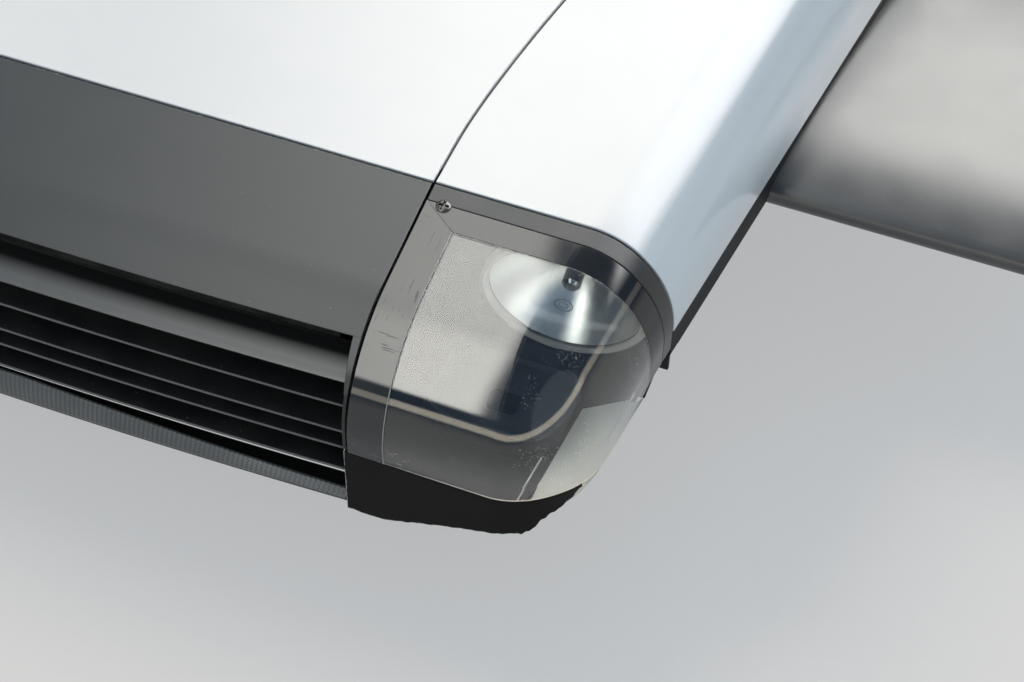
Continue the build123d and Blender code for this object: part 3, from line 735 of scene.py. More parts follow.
class Graph:
    """Adds and joins shader nodes in one tree."""

    def __init__(self, tree: bpy.types.NodeTree) -> None:
        """Starts on an empty or new tree."""
        self.tree = tree

    def add(self, kind: str, **settings: object) -> bpy.types.Node:
        """Adds a node and sets its named properties.

        Args:
            kind: Node's type.
            settings: Its properties.

        Returns:
            The node.
        """
        node = self.tree.nodes.new(kind)
        for name, value in settings.items():
            setattr(node, name, value)
        return node

    def feed(self, socket: Socket, value: object) -> None:
        """Joins a socket to another or sets its plain value.

        Args:
            socket: Socket to feed.
            value: Another socket or a value.
        """
        if isinstance(value, Socket):
            self.tree.links.new(value, socket)
        else:
            socket.default_value = value

    def sum(self, operation: str, first: object, second: object = 0.0, third: object = 0.0,
            clamp: bool = False) -> Socket:
        """Math node on up to three values.

        Args:
            operation: What it works out.
            first: First socket or value.
            second: Second.
            third: Third.
            clamp: Whether the result is kept from 0 to 1.

        Returns:
            The result.
        """
        node = self.add("ShaderNodeMath", operation=operation, use_clamp=clamp)
        for socket, value in zip(node.inputs, (first, second, third)):
            self.feed(socket, value)
        return node.outputs[0]

    def times(self, first: object, second: object, clamp: bool = False) -> Socket:
        """Product of two values."""
        return self.sum("MULTIPLY", first, second, clamp=clamp)

    def rest(self, value: object) -> Socket:
        """One less a value."""
        return self.sum("SUBTRACT", 1.0, value)

    def mix(self, share: object, first: object, second: object) -> Socket:
        """Colour that goes from first to second as share goes from 0 to 1.

        Args:
            share: The share.
            first: First colour.
            second: Second colour.

        Returns:
            The colour.
        """
        node = self.add("ShaderNodeMix", data_type="RGBA")
        for name, value in (("Factor_Float", share), ("A_Color", first), ("B_Color", second)):
            self.feed(next(s for s in node.inputs if s.identifier == name), value)
        return next(s for s in node.outputs if s.identifier == "Result_Color")

    def step(self, value: object, low: float, high: float) -> Socket:
        """Smooth step of a value from 0 at low to 1 at high.

        Args:
            value: The value.
            low: Where it starts.
            high: Where it ends.

        Returns:
            The step.
        """
        node = self.add("ShaderNodeMapRange", interpolation_type="SMOOTHSTEP")
        for name, given in (("Value", value), ("From Min", low), ("From Max", high)):
            self.feed(node.inputs[name], given)
        return node.outputs["Result"]

    def noise(self, vector: object, scale: object, detail: float = 2.0, roughness: float = 0.5) -> Socket:
        """Noise value over a vector.

        Args:
            vector: Place.
            scale: Its scale.
            detail: Octaves.
            roughness: Weight of each next octave.

        Returns:
            The noise, from 0 to 1.
        """
        node = self.add("ShaderNodeTexNoise")
        names = ("Vector", "Scale", "Detail", "Roughness")
        for name, given in zip(names, (vector, scale, detail, roughness)):
            self.feed(node.inputs[name], given)
        return node.outputs["Fac"]

    def place(self, scale: Triple = (1, 1, 1), turn: Triple = (0, 0, 0)) -> Socket:
        """Object coordinates, turned and stretched.

        Args:
            scale: Stretch of each axis.
            turn: Turn about each axis, in radians.

        Returns:
            The place.
        """
        mapping = self.add("ShaderNodeMapping")
        self.feed(mapping.inputs["Vector"], self.add("ShaderNodeTexCoord").outputs["Object"])
        mapping.inputs["Rotation"].default_value = turn
        mapping.inputs["Scale"].default_value = scale
        return mapping.outputs["Vector"]


def start_material(name: str) -> tuple[Material, Graph, bpy.types.bpy_prop_collection]:
    """New material, the graph of its nodes and its shader's sockets.

    Args:
        name: Its name.

    Returns:
        The material, the graph and the sockets by name.
    """
    made = bpy.data.materials.new(name)
    made.use_nodes = True
    return made, Graph(made.node_tree), made.node_tree.nodes["Principled BSDF"].inputs


class Effect(Enum):
    """Shared effects, each one node group."""

    GRAIN = "fine_grain"
    DUST = "dust_specks"
    SCRATCHES = "hair_scratches"
    WEAR = "rim_wear"
    TWILL = "twill_weave"


MARK_ROUGHNESS = {Effect.DUST: 0.8, Effect.SCRATCHES: 0.6, Effect.WEAR: 0.7}


class Effects:
    """Builds the shared node groups once and places them in materials.

    The slow tone is coarser than the grain by a fixed share. Each family of hair lines has a turn
    and a stretch. The gains say how sharp the edges of lines and patches are, and how ragged the rim
    marks are, which are wear on sheets and a painted highlight on the slats.
    """

    coarser: float = 60.0
    line_ways: tuple[tuple[Triple, Triple], ...] = (
        ((0.1, 0.1, 0.75), (1.0, 0.035, 0.3)), ((0.2, -0.1, -0.45), (0.04, 1.0, 0.3)))
    line_gain: float = 18.0
    patch_scale: float = 18.0
    patch_gain: float = 12.0
    ragged_gain: float = 4.0

    def __init__(self) -> None:
        """Makes every group."""
        self.groups: dict[Effect, bpy.types.NodeTree] = {}
        for make in (self._grain, self._dust, self._scratches, self._wear, self._twill):
            make()

    def _start(self, effect: Effect, inputs: tuple[str, ...],
               outputs: tuple[str, ...]) -> tuple[Graph, dict, dict]:
        """Starts a group with named value inputs and outputs.

        Args:
            effect: The effect.
            inputs: Names of its inputs.
            outputs: And of its outputs.

        Returns:
            Graph of the group, its inputs and its outputs by name.
        """
        tree = bpy.data.node_groups.new(effect.value, "ShaderNodeTree")
        for way, names in (("INPUT", inputs), ("OUTPUT", outputs)):
            for name in names:
                tree.interface.new_socket(name, in_out=way, socket_type="NodeSocketFloat")
        graph = Graph(tree)
        source, sink = graph.add("NodeGroupInput"), graph.add("NodeGroupOutput")
        self.groups[effect] = tree
        return graph, {s.name: s for s in source.outputs}, {s.name: s for s in sink.inputs}

    def _grain(self) -> None:
        """Fine height from noise at the given scale, and a much coarser slow tone."""
        graph, given, out = self._start(Effect.GRAIN, ("Scale",), ("Height", "Tone"))
        graph.feed(out["Height"], graph.noise(graph.place(), given["Scale"], 3.0, 0.6))
        slow = graph.sum("DIVIDE", given["Scale"], self.coarser)
        graph.feed(out["Tone"], graph.noise(graph.place(), slow, 3.0, 0.55))

    def _dust(self) -> None:
        """Round specks: cells of a Voronoi pattern whose random number is high, near their middles."""
        graph, given, out = self._start(Effect.DUST, ("Scale", "Amount", "Size"), ("Mask",))
        cells = graph.add("ShaderNodeTexVoronoi")
        graph.feed(cells.inputs["Vector"], graph.place())
        graph.feed(cells.inputs["Scale"], given["Scale"])
        parts = graph.add("ShaderNodeSeparateColor")
        graph.feed(parts.inputs[0], cells.outputs["Color"])
        chosen = graph.sum("GREATER_THAN", parts.outputs[0], graph.rest(given["Amount"]))
        size = graph.times(given["Size"], graph.sum("ADD", parts.outputs[1], 0.3))
        near = graph.sum("LESS_THAN", cells.outputs["Distance"], size)
        graph.feed(out["Mask"], graph.times(chosen, near))

    def _scratches(self) -> None:
        """Hair lines: the peaks of a noise drawn out along one direction, kept in patches of a slow noise."""
        graph, given, out = self._start(Effect.SCRATCHES, ("Scale", "Rarity", "Patches"), ("Mask",))
        lines = []
        for turn, stretch in self.line_ways:
            noise = graph.noise(graph.place(stretch, turn), given["Scale"], 0.0)
            over = graph.sum("SUBTRACT", noise, given["Rarity"])
            rise = graph.times(over, self.line_gain, clamp=True)
            patch = graph.noise(graph.place((1, 1, 1), turn), self.patch_scale, 2.0)
            over = graph.sum("SUBTRACT", patch, given["Patches"])
            shown = graph.times(over, self.patch_gain, clamp=True)
            lines.append(graph.times(rise, shown))
        graph.feed(out["Mask"], graph.sum("MAXIMUM", lines[0], lines[1]))

    def _wear(self) -> None:
        """Rim marks where the distance to a border, roughened by noise, is under a reach: wear near a sheet's
        border, and on the slats a painted highlight along the front edge.
        """
        graph, given, out = self._start(Effect.WEAR, ("Reach", "Rough", "Scale"), ("Mask",))
        rim = graph.add("ShaderNodeAttribute", attribute_name="rim").outputs["Fac"]
        noise = graph.sum("SUBTRACT", graph.noise(graph.place(), given["Scale"], 4.0, 0.7), 0.5)
        rough = graph.times(given["Rough"], self.ragged_gain)
        ragged = graph.sum("ADD", rim, graph.times(noise, rough))
        graph.feed(out["Mask"], graph.sum("LESS_THAN", ragged, given["Reach"]))

    def _twill(self) -> None:
        """Two-by-two weave at 45 degrees in front view, as a tone and a height."""
        graph, given, out = self._start(Effect.TWILL, ("Pitch",), ("Tone", "Height"))
        parts = graph.add("ShaderNodeSeparateXYZ")
        graph.feed(parts.inputs[0], graph.place((1000, 1000, 1000)))
        x, z = parts.outputs["X"], parts.outputs["Z"]
        warp = graph.sum("DIVIDE", graph.sum("ADD", x, z), given["Pitch"])
        weft = graph.sum("DIVIDE", graph.sum("SUBTRACT", x, z), given["Pitch"])
        steps = graph.sum("ADD", graph.sum("FLOOR", warp), graph.sum("FLOOR", weft))
        over = graph.sum("GREATER_THAN", graph.sum("FLOORED_MODULO", steps, 4.0), 1.5)
        humps = [graph.sum("ABSOLUTE", graph.sum("SINE", graph.times(v, math.pi)))
                 for v in (warp, weft)]
        chosen = graph.sum("ADD", graph.times(over, humps[0]),
                           graph.times(graph.rest(over), humps[1]))
        graph.feed(out["Tone"], over)
        graph.feed(out["Height"], chosen)

    def use(self, graph: Graph, effect: Effect, *values: float) -> dict[str, Socket]:
        """Places a group in a material with its own values.

        Args:
            graph: The material's graph.
            effect: The effect.
            values: Its inputs, in order.

        Returns:
            The group's outputs by name.
        """
        node = graph.add("ShaderNodeGroup", node_tree=self.groups[effect])
        for socket, value in zip(node.inputs, values):
            socket.default_value = value
        return {s.name: s for s in node.outputs}


@dataclass(frozen=True)
class Finish:
    """A finish on the Principled shader, whose two colours and roughnesses a slow tone mixes.

    Bump is the grain's height in millimetres. Each mark has three values and a colour: scale, amount
    and size of dust, scale, rarity and patchiness of scratches, or reach, roughness and scale of the
    wear at rims, which on the slats is a painted highlight along their front edges. A finish with
    painted shade has its colour and coat only where the "lit" attribute is 1; elsewhere it is painted
    near black as shade.
    """

    name: str
    colour: Triple
    tone: Triple
    roughness: Pair = (0.4, 0.5)
    grain: float = 900.0
    bump: float = 0.02
    dust: Mark | None = None
    scratches: Mark | None = None
    wear: Mark | None = None
    metallic: float = 0.0
    specular: float = 0.5
    coat: float = 0.0
    coat_roughness: float = 0.03
    coat_index: float = 1.5
    fading: bool = False

    def material(self, effects: Effects) -> Material:
        """Makes the material.

        Args:
            effects: The shared groups.

        Returns:
            The material.
        """
        made, graph, sockets = start_material(self.name)
        for name, value in (("Metallic", self.metallic), ("Specular IOR Level", self.specular),
                            ("Coat Roughness", self.coat_roughness), ("Coat IOR", self.coat_index)):
            sockets[name].default_value = value
        grain = effects.use(graph, Effect.GRAIN, self.grain)
        tone = graph.step(grain["Tone"], *TONE_SPAN)
        colour = graph.mix(tone, (*self.colour, 1), (*self.tone, 1))
        low, high = self.roughness
        rough = graph.sum("MULTIPLY_ADD", tone, high - low, low)
        height = self.relief(graph, effects, grain["Height"])
        marks = ((Effect.DUST, self.dust), (Effect.SCRATCHES, self.scratches), (Effect.WEAR, self.wear))
        for effect, mark in marks:
            if mark:
                mask = effects.use(graph, effect, *mark[0])["Mask"]
                colour = graph.mix(mask, colour, (*mark[1], 1))
                mark_rough = graph.times(mask, MARK_ROUGHNESS[effect])
                rough = graph.sum("MAXIMUM", rough, mark_rough)
        bump = graph.add("ShaderNodeBump")
        bump.inputs["Distance"].default_value = self.bump * MM
        graph.feed(bump.inputs["Height"], height)
        colour = self.coloured(graph, effects, colour)
        coat: object = self.coat
        # Painted shade: where "lit" is 0 the colour turns near black and the coat goes, standing for shade.
        if self.fading:
            lit = graph.add("ShaderNodeAttribute", attribute_name="lit").outputs["Fac"]
            colour = graph.mix(lit, PAINTED_SHADE_BLACK, colour)
            coat = graph.times(lit, self.coat)
        graph.feed(sockets["Coat Weight"], coat)
        graph.feed(sockets["Base Color"], colour)
        graph.feed(sockets["Roughness"], rough)
        graph.feed(sockets["Normal"], bump.outputs["Normal"])
        return made

    def relief(self, graph: Graph, effects: Effects, grain: Socket) -> Socket:
        """Height that the bump reads."""
        return grain

    def coloured(self, graph: Graph, effects: Effects, colour: Socket) -> Socket:
        """Colour after the finish's own pattern."""
        return colour


@dataclass(frozen=True)
class WovenFinish(Finish):
    """Resin over a twill cloth whose threads show."""

    pitch: float = 2.4
    under: float = 0.45

    def relief(self, graph: Graph, effects: Effects, grain: Socket) -> Socket:
        """Threads of the weave."""
        return effects.use(graph, Effect.TWILL, self.pitch)["Height"]

    def coloured(self, graph: Graph, effects: Effects, colour: Socket) -> Socket:
        """Darker where the crossing threads lie on top.

        Args:
            graph: The material's graph.
            effects: The shared groups.
            colour: Colour so far.

        Returns:
            The colour.
        """
        weave = effects.use(graph, Effect.TWILL, self.pitch)
        share = graph.times(weave["Tone"], weave["Height"])
        return graph.mix(share, colour, tinted(self.under, self.tone))


@dataclass(frozen=True)
class ClearFinish:
    """Clear plastic or glass that lets lamp light through as plain shadow rays; its dust and scratch marks
    glow faintly as painted light.
    """

    name: str
    colour: Triple
    index: float
    roughness: float
    scratches: Triple
    dust: Triple
    mark_tint: Triple = (0.66, 0.66, 0.64)
    mark_glow_colour: Triple = (0.80, 0.82, 0.80)
    mark_painted_glow: float = 0.16
    mark_roughness: float = 0.55

    def material(self, effects: Effects) -> Material:
        """Makes the material.

        Args:
            effects: The shared groups.

        Returns:
            The material.
        """
        made, graph, sockets = start_material(self.name)
        sockets["Transmission Weight"].default_value = 1.0
        sockets["IOR"].default_value = self.index
        lines = effects.use(graph, Effect.SCRATCHES, *self.scratches)["Mask"]
        specks = effects.use(graph, Effect.DUST, *self.dust)["Mask"]
        marks = graph.sum("MAXIMUM", lines, specks)
        graph.feed(sockets["Base Color"], graph.mix(marks, (*self.colour, 1), (*self.mark_tint, 1)))
        # Painted light: the dust and scratch marks glow faintly, as if lit.
        graph.feed(sockets["Emission Color"], graph.mix(marks, (0, 0, 0, 1), (*self.mark_glow_colour, 1)))
        sockets["Emission Strength"].default_value = self.mark_painted_glow
        made.cycles.emission_sampling = "NONE"
        rough = graph.sum("MULTIPLY_ADD", marks, self.mark_roughness, self.roughness)
        graph.feed(sockets["Roughness"], rough)
        path = graph.add("ShaderNodeLightPath")
        through = graph.add("ShaderNodeBsdfTransparent")
        through.inputs["Color"].default_value = (*self.colour, 1)
        mixed = graph.add("ShaderNodeMixShader")
        shader = made.node_tree.nodes["Principled BSDF"]
        sources = (path.outputs["Is Shadow Ray"], shader.outputs[0], through.outputs[0])
        for socket, source in zip(mixed.inputs, sources):
            graph.feed(socket, source)
        graph.feed(made.node_tree.nodes["Material Output"].inputs["Surface"], mixed.outputs[0])
        return made


FINISHES = (
    Finish("white_gloss_paint", (0.83, 0.84, 0.845), (0.81, 0.825, 0.835), (0.3, 0.34), 500.0, 0.002,
           dust=((120.0, 0.012, 0.05), (0.15, 0.15, 0.15)), specular=0.2, coat=0.8, coat_roughness=0.08),
    Finish("satin_black_panel", (0.023, 0.025, 0.026), (0.025, 0.027, 0.028), (0.285, 0.292), 1400.0, 0.006,
           dust=((230.0, 0.04, 0.06), (0.3, 0.3, 0.28)), wear=((-0.15, 0.5, 260.0), (0.35, 0.36, 0.36))),
    # The bar's "lit" attribute paints its upper face near black as shade under the panel's overhang.
    Finish("satin_black_bar", (0.02, 0.022, 0.024), (0.024, 0.026, 0.028), (0.5, 0.56), 1400.0, 0.008,
           dust=((230.0, 0.05, 0.07), (0.3, 0.3, 0.28)), specular=0.02, coat=1.0, coat_roughness=0.3,
           coat_index=1.6, fading=True),
    Finish("matt_black_sill", (0.007, 0.007, 0.008), (0.01, 0.01, 0.011), (0.55, 0.62), 1200.0, 0.02,
           dust=((200.0, 0.08, 0.08), (0.12, 0.12, 0.12)), specular=0.12),
    Finish("black_frame_moulding", (0.02, 0.021, 0.022), (0.026, 0.027, 0.028), (0.3, 0.36), 1600.0, 0.012,
           dust=((260.0, 0.1, 0.08), (0.28, 0.28, 0.27)), wear=((-0.3, 0.4, 260.0), (0.4, 0.41, 0.41))),
    Finish("worn_black_corner", (0.006, 0.005, 0.005), (0.009, 0.008, 0.008), (0.5, 0.6), 1200.0, 0.03,
           dust=((200.0, 0.1, 0.08), (0.28, 0.27, 0.25)), wear=((0.4, 1.5, 170.0), (0.6, 0.59, 0.56)),
           specular=0.08),
    Finish("black_arm_shell", (0.028, 0.028, 0.028), (0.033, 0.033, 0.033), (0.29, 0.33), 1000.0, 0.006,
           dust=((200.0, 0.06, 0.07), (0.4, 0.4, 0.38)),
           scratches=((1500.0, 0.76, 0.6), (0.05, 0.05, 0.05)), specular=1.0),
    # The slats' rim colour is a painted highlight: a pale warm line along each front edge, standing for light
    # caught there.
    Finish("black_slat_plastic", (0.014, 0.014, 0.014), (0.02, 0.02, 0.019), (0.34, 0.42), 1500.0, 0.012,
           dust=((220.0, 0.1, 0.08), (0.38, 0.37, 0.34)), wear=((0.9, 0.2, 300.0), (0.185, 0.178, 0.165)),
           specular=0.3),
    Finish("black_duct_plastic", (0.008, 0.008, 0.008), (0.012, 0.012, 0.012), (0.5, 0.6), 1200.0, 0.02,
           dust=((120.0, 0.1, 0.08), (0.1, 0.1, 0.1))),
    # The lip's "lit" attribute keeps the weave only on its face; below the rolled edge it is painted near
    # black as shade.
    WovenFinish("woven_lip_resin", (0.15, 0.153, 0.15), (0.12, 0.124, 0.124), (0.4, 0.5), 900.0, 0.06,
                dust=((220.0, 0.1, 0.08), (0.4, 0.39, 0.36)), specular=0.3, coat=0.5, coat_roughness=0.35,
                fading=True, pitch=2.3),
    # The two border blacks differ only by painted light: the left one is lighter as a painted sheen, the top
    # one darker as painted shade, meeting at the mitre.
    Finish("left_border_painted_sheen", (0.03, 0.031, 0.031), (0.036, 0.037, 0.037), (0.025, 0.045), 1500.0, 0.002,
           dust=((260.0, 0.1, 0.07), (0.35, 0.35, 0.34)),
           scratches=((900.0, 0.7, 0.52), (0.12, 0.12, 0.12))),
    Finish("top_border_painted_shade", (0.012, 0.013, 0.014), (0.016, 0.017, 0.018), (0.025, 0.045), 1500.0, 0.002,
           dust=((260.0, 0.08, 0.07), (0.35, 0.35, 0.34))),
    ClearFinish("clear_cover_acrylic", (0.975, 0.98, 0.975), 1.49, 0.012, (2300.0, 0.745, 0.58),
                (520.0, 0.16, 0.06)),
    Finish("sawn_cover_edge", (0.34, 0.35, 0.335), (0.44, 0.45, 0.43), (0.35, 0.5), 900.0, 0.02),
    ClearFinish("lamp_front_glass", (0.975, 0.98, 0.975), 1.5, 0.01, (1600.0, 0.8, 0.66),
                (260.0, 0.02, 0.05)),
    Finish("lamp_bowl_metal", (0.9, 0.93, 0.92), (0.84, 0.88, 0.87), (0.32, 0.38), 400.0, 0.003,
           metallic=1.0),
    Finish("pale_ring_plastic", (0.4, 0.41, 0.38), (0.48, 0.49, 0.455), (0.28, 0.36), 900.0, 0.01),
    Finish("dull_bulb_cap", (0.42, 0.43, 0.43), (0.34, 0.35, 0.35), (0.22, 0.34), 1400.0, 0.01,
           metallic=1.0),
    Finish("lamp_mark_ridge", (0.16, 0.17, 0.17), (0.22, 0.23, 0.23), (0.3, 0.4), 1400.0, 0.01),
    # The bay floor's pale grey is partly its own colour and partly painted sunlight.
    Finish("bay_floor_pale", (0.36, 0.39, 0.375), (0.32, 0.35, 0.335), (0.55, 0.7), 700.0, 0.04,
           dust=((260.0, 0.15, 0.1), (0.16, 0.16, 0.16))),
    Finish("bay_dark_liner", (0.008, 0.01, 0.013), (0.012, 0.015, 0.019), (0.5, 0.6), 1100.0, 0.02,
           dust=((200.0, 0.1, 0.08), (0.14, 0.14, 0.14)), specular=0.2),
    Finish("liner_bright_edge", (0.4, 0.41, 0.4), (0.48, 0.49, 0.47), (0.35, 0.45), 900.0, 0.01),
    Finish("frame_steel_black", (0.035, 0.036, 0.038), (0.06, 0.058, 0.056), (0.42, 0.6), 700.0, 0.03,
           dust=((120.0, 0.1, 0.1), (0.2, 0.18, 0.15))),
    Finish("turned_aluminium", (0.55, 0.55, 0.55), (0.48, 0.48, 0.49), (0.28, 0.42), 1200.0, 0.01,
           scratches=((700.0, 0.66, 0.45), (0.35, 0.35, 0.36)), metallic=1.0),
    Finish("steel_screw_head", (0.1, 0.098, 0.093), (0.055, 0.054, 0.051), (0.34, 0.46), 1500.0, 0.02,
           metallic=1.0),
    Finish("radiator_alloy", (0.1, 0.1, 0.1), (0.16, 0.16, 0.155), (0.4, 0.55), 900.0, 0.03, metallic=0.6),
)


def make_palette() -> Palette:
    """Every material of the car, by a plain name."""
    effects = Effects()
    return {finish.name: finish.material(effects) for finish in FINISHES}


@dataclass(frozen=True)
class WhitePanels:
    """Bonnet and the two corner panels, white."""

    gap: float = 1.2
    wall: float = 3.0
    roll: float = 1.1
    lower_edge: float = -53.0
    seam: Table = (
        (0, 0), (70, 5), (148, 18), (228, 36), (320, 62), (420, 84), (530, 97), (640, 102.5))
    rows: int = 90
    columns: int = 70
    corner_counts: Counts = (40, 40, 14)

    def seam_x(self, y: Array) -> Array:
        """X of the bonnet's left seam at y."""
        return BODY.seam_x + smooth_curve(y - BODY.line_y, self.seam)

    def bonnet(self) -> Surface:
        """Flat top between the seams: each row runs straight across from seam to seam.

        Returns:
            The bonnet's skin.
        """
        y = np.linspace(BODY.line_y + self.gap, 0, self.rows)[:, None]
        share = np.linspace(-1, 1, self.columns)[None]
        x = (self.seam_x(y) - self.gap) * share
        points = np.stack([x, y + 0 * x, BODY.top(y) + 0 * x], -1)
        return sheet(*BODY.onto(points, UP), self.wall, self.roll)

    def corner(self) -> Surface:
        """Left corner panel: rows over the shoulder from the seam to the lower edge.

        Returns:
            The panel's skin.
        """
        y = np.linspace(BODY.line_y + self.gap, 0, self.rows)
        start = self.seam_x(y) + self.gap
        grid = BODY.over_shoulder(y, start, np.array(self.lower_edge), self.corner_counts)
        return sheet(*grid, self.wall, self.roll)

    def build(self, palette: Palette) -> None:
        """Makes the three panels.

        Args:
            palette: The materials.
        """
        paint = [palette["white_gloss_paint"]]
        make_piece("bonnet", self.bonnet(), paint, ("bonnet_panel",))
        make_pairs((("corner_panel", self.corner(), paint, "white_paint", "fender_panel"),))


@dataclass(frozen=True)
class NosePanel:
    """Black centre panel ahead of the bonnet, with its two end posts."""

    gap: float = 1.2
    wall: float = 3.0
    roll: float = 0.9
    edge: float = 158.0
    bow: float = 5.0
    post_widths: Table = ((18.0, 9.0), (66.0, 3.6))
    post_low: float = -11.0
    post_span: Pair = (-700.0, -60.0)
    post_counts: Counts = (4, 60, 2)
    post_columns: int = 5
    post_roll: float = 0.6
    rows: int = 60
    columns: int = 120
    crowding: float = 0.9
    fall: float = 12.0

    def panel(self) -> Surface:
        """Each column runs from the panel line forward over the bullnose to a bowed edge.

        Returns:
            The panel's skin.
        """
        half = BODY.seam_x - self.gap
        x = np.linspace(-half, half, self.columns)[None]
        share = np.linspace(0, 1, self.rows)[:, None] ** self.crowding
        front = BODY.line_y - self.edge - self.bow * (1 - (x / half) ** 2)
        y = BODY.line_y - self.gap + (front - BODY.line_y + self.gap) * share
        points = np.stack([x + 0 * y, y, BODY.top(y) - self.fall * share**2 + 0 * y], -1)
        return sheet(*BODY.onto(points, UP), self.wall, self.roll, (True, False, False, False))

    def post(self) -> Surface:
        """Strip down the front from the panel's edge to the post's foot, narrowing on its inner side.

        Returns:
            The left post's skin.
        """
        half = BODY.seam_x - self.gap
        x = np.linspace(half - 1.0, half, self.post_columns)
        start, low = (np.array(v) for v in self.post_span)
        points, normals = BODY.over_nose(x, start, low, self.post_counts)
        path = points[2]
        chosen = (path[:, 1] < BODY.line_y - self.edge + 1.0) & (path[:, 2] > self.post_low)
        points, normals = points[:, chosen], normals[:, chosen]
        width = np.interp(BODY.top_z - points[2, :, 2], *np.transpose(self.post_widths))
        points[..., 0] = half - np.linspace(1, 0, self.post_columns)[:, None] * width
        return sheet(points, normals, self.wall, self.post_roll, (False, False, False, False))

    def build(self, palette: Palette) -> None:
        """Makes the panel and posts in one piece.

        Args:
            palette: The materials.
        """
        posts = [self.post().on_side(side) for side in Side]
        whole = reduce(Surface.joined, posts, self.panel())
        make_piece("nose_panel_skin", whole, [palette["satin_black_panel"]], ("nose_panel",))


@dataclass(frozen=True)
class LampCorner:
    """Front corner round one lamp: frame band, black borders, clear cover, chin and screw.

    The cover's lower edge and the chin's are tables: the first of the setback behind the nose's
    reach and the drop below the straight edge, the second of the distance outboard and the depth.
    """

    gap: float = 1.2
    band: float = 18.6
    band_gap: float = 0.8
    band_counts: Counts = (44, 60, 8)
    band_wall: float = 5.0
    band_roll: float = 0.8
    border_rows: int = 9
    back_counts: Counts = (60, 70, 12)
    left_counts: Counts = (50, 80, 10)
    border_wall: float = 3.0
    border_roll: float = 0.25
    opening_back: float = 43.0
    opening_side: float = 34.0
    cover_low: float = -71.0
    cover_gap: float = 0.15
    cover_wall: float = 3.0
    cover_roll: float = 0.6
    cover_corner: float = 2.0
    cover_counts: tuple[int, int] = (110, 170)
    bead_span: Pair = (-0.5, 0.3)
    bead_rise: float = 0.25
    edge_drop: Table = (
        (-20.0, 2.0), (0.0, 2.5), (16.5, 5.0), (28.5, 8.0), (42.5, 12.5), (59.5, 17.0), (77.5, 19.0),
        (104.5, 19.5), (125.0, 16.5), (149.5, 10.5), (170.0, 5.5), (190.0, 4.5), (230.0, 4.5))
    chin: Table = (
        (0, 214), (30, 214), (68, 201), (96, 191), (147, 178), (157, 178), (166, 173), (175, 161),
        (187, 154), (196, 147))
    chin_inner: float = 331.9
    ragged: Triple = (0.5, 2.3, 7.7)
    torn: Triple = (1.6, 1.9, 4.3)
    frayed: Pair = (0.8, 0.9)
    torn_from: float = 150.0
    torn_over: float = 10.0
    screw_at: Triple = (352.3, -661.1, 52.6)
    screw_radius: float = 7.0
    screw_counts: tuple[int, int] = (96, 40)
    screw_dome: float = 2.6
    dome_fall: Pair = (0.92, 0.5)
    screw_turn: float = 0.4
    slot_half: float = 1.0
    slot_reach: float = 4.2
    slot_wall: Pair = (1.2, 0.35)

    def low_edge(self, y: Array) -> Array:
        """Height of the cover's lower edge at y."""
        return self.cover_low - smooth_curve(y - BODY.line_y + BODY.reach, self.edge_drop)

    def strips(self) -> tuple[Surface, Surface, Surface]:
        """Frame band level with the white panel, and the black borders at the cover's back and left.

        The borders run from the cover's edge to its opening and meet in a mitre by the seam.

        Returns:
            Skins of the band, the back border and the left border.
        """
        y = BODY.line_y - np.linspace(self.gap, self.band, self.border_rows)
        start = np.array(BODY.seam_x + self.gap)
        band = BODY.over_shoulder(y, start, self.low_edge(y), self.band_counts)
        share = np.linspace(0, 1, self.border_rows)
        back = BODY.line_y - blend(self.band + self.band_gap, self.opening_back, share)
        left = BODY.seam_x + blend(self.gap, self.opening_side, share)
        low = self.low_edge(np.full(len(left), BODY.front(self.cover_low)))
        borders = (BODY.over_shoulder(back, left, self.low_edge(back), self.back_counts),
                   BODY.over_nose(left, back, low, self.left_counts))
        return (sheet(*band, self.band_wall, self.band_roll),
                *(sheet(*grid, self.border_wall, self.border_roll) for grid in borders))

    def cover(self) -> Surface:
        """Clear cover: the blend of its four border lines, carried onto the body's form.

        A point is the sum of the straight blends between opposite borders less the straight blend
        of the corners, and then the nearest point of the form.

        Returns:
            The clear sheet's skin.
        """
        start = BODY.seam_x + self.opening_side + self.cover_gap
        line = BODY.line_y - self.opening_back - self.cover_gap
        line_low = self.low_edge(np.array([line]))
        front_low = self.low_edge(np.array([BODY.front(self.cover_low)]))
        back = BODY.over_shoulder(np.array([line]), np.array(start), line_low, (200, 260, 40))[0][0]
        left = BODY.over_nose(np.array([start]), np.array(line), front_low, (120, 220, 40))[0][0]
        base, way = BODY.round_corner(start, line, (160, 220, 80))
        low = BODY.onto(base, way)[0]
        for _ in range(2):
            base[:, 2] = self.low_edge(low[:, 1])
            low = BODY.onto(base, way)[0]

        (rows, columns), outside = self.cover_counts, low[-1]
        back, low = (even_path(path, columns, self.cover_corner) for path in (back, low))
        left = even_path(left, rows)
        turn = np.linspace(0, math.pi / 2, rows)[:, None]
        centre = back[-1] + low[-1] - outside
        right = centre + (low[-1] - centre) * np.sin(turn) + (back[-1] - centre) * np.cos(turn)
        u = np.linspace(0, 1, columns)[None, :, None]
        v = np.linspace(0, 1, rows)[:, None, None]
        points = (1 - v) * back[None] + v * low[None] + (1 - u) * left[:, None] + u * right[:, None]
        corners = (1 - u) * ((1 - v) * left[0] + v * left[-1]) + u * ((1 - v) * right[0] + v * right[-1])
        return sheet(*BODY.nearest(points - corners), self.cover_wall, self.cover_roll)

    def bead(self) -> Surface:
        """Thin pale line where the clear sheet's edge stands above its inner border.

        Returns:
            The line's skin.
        """
        start = BODY.seam_x + self.opening_side
        line = BODY.line_y - self.opening_back
        low = self.low_edge(np.array([BODY.front(self.cover_low)]))
        x = start + np.linspace(*self.bead_span, 3)
        points, normals = BODY.over_nose(x, np.array(line), low, (60, 100, 14))
        return sheet(points + normals * self.bead_rise, normals, 0.6, 0.2)

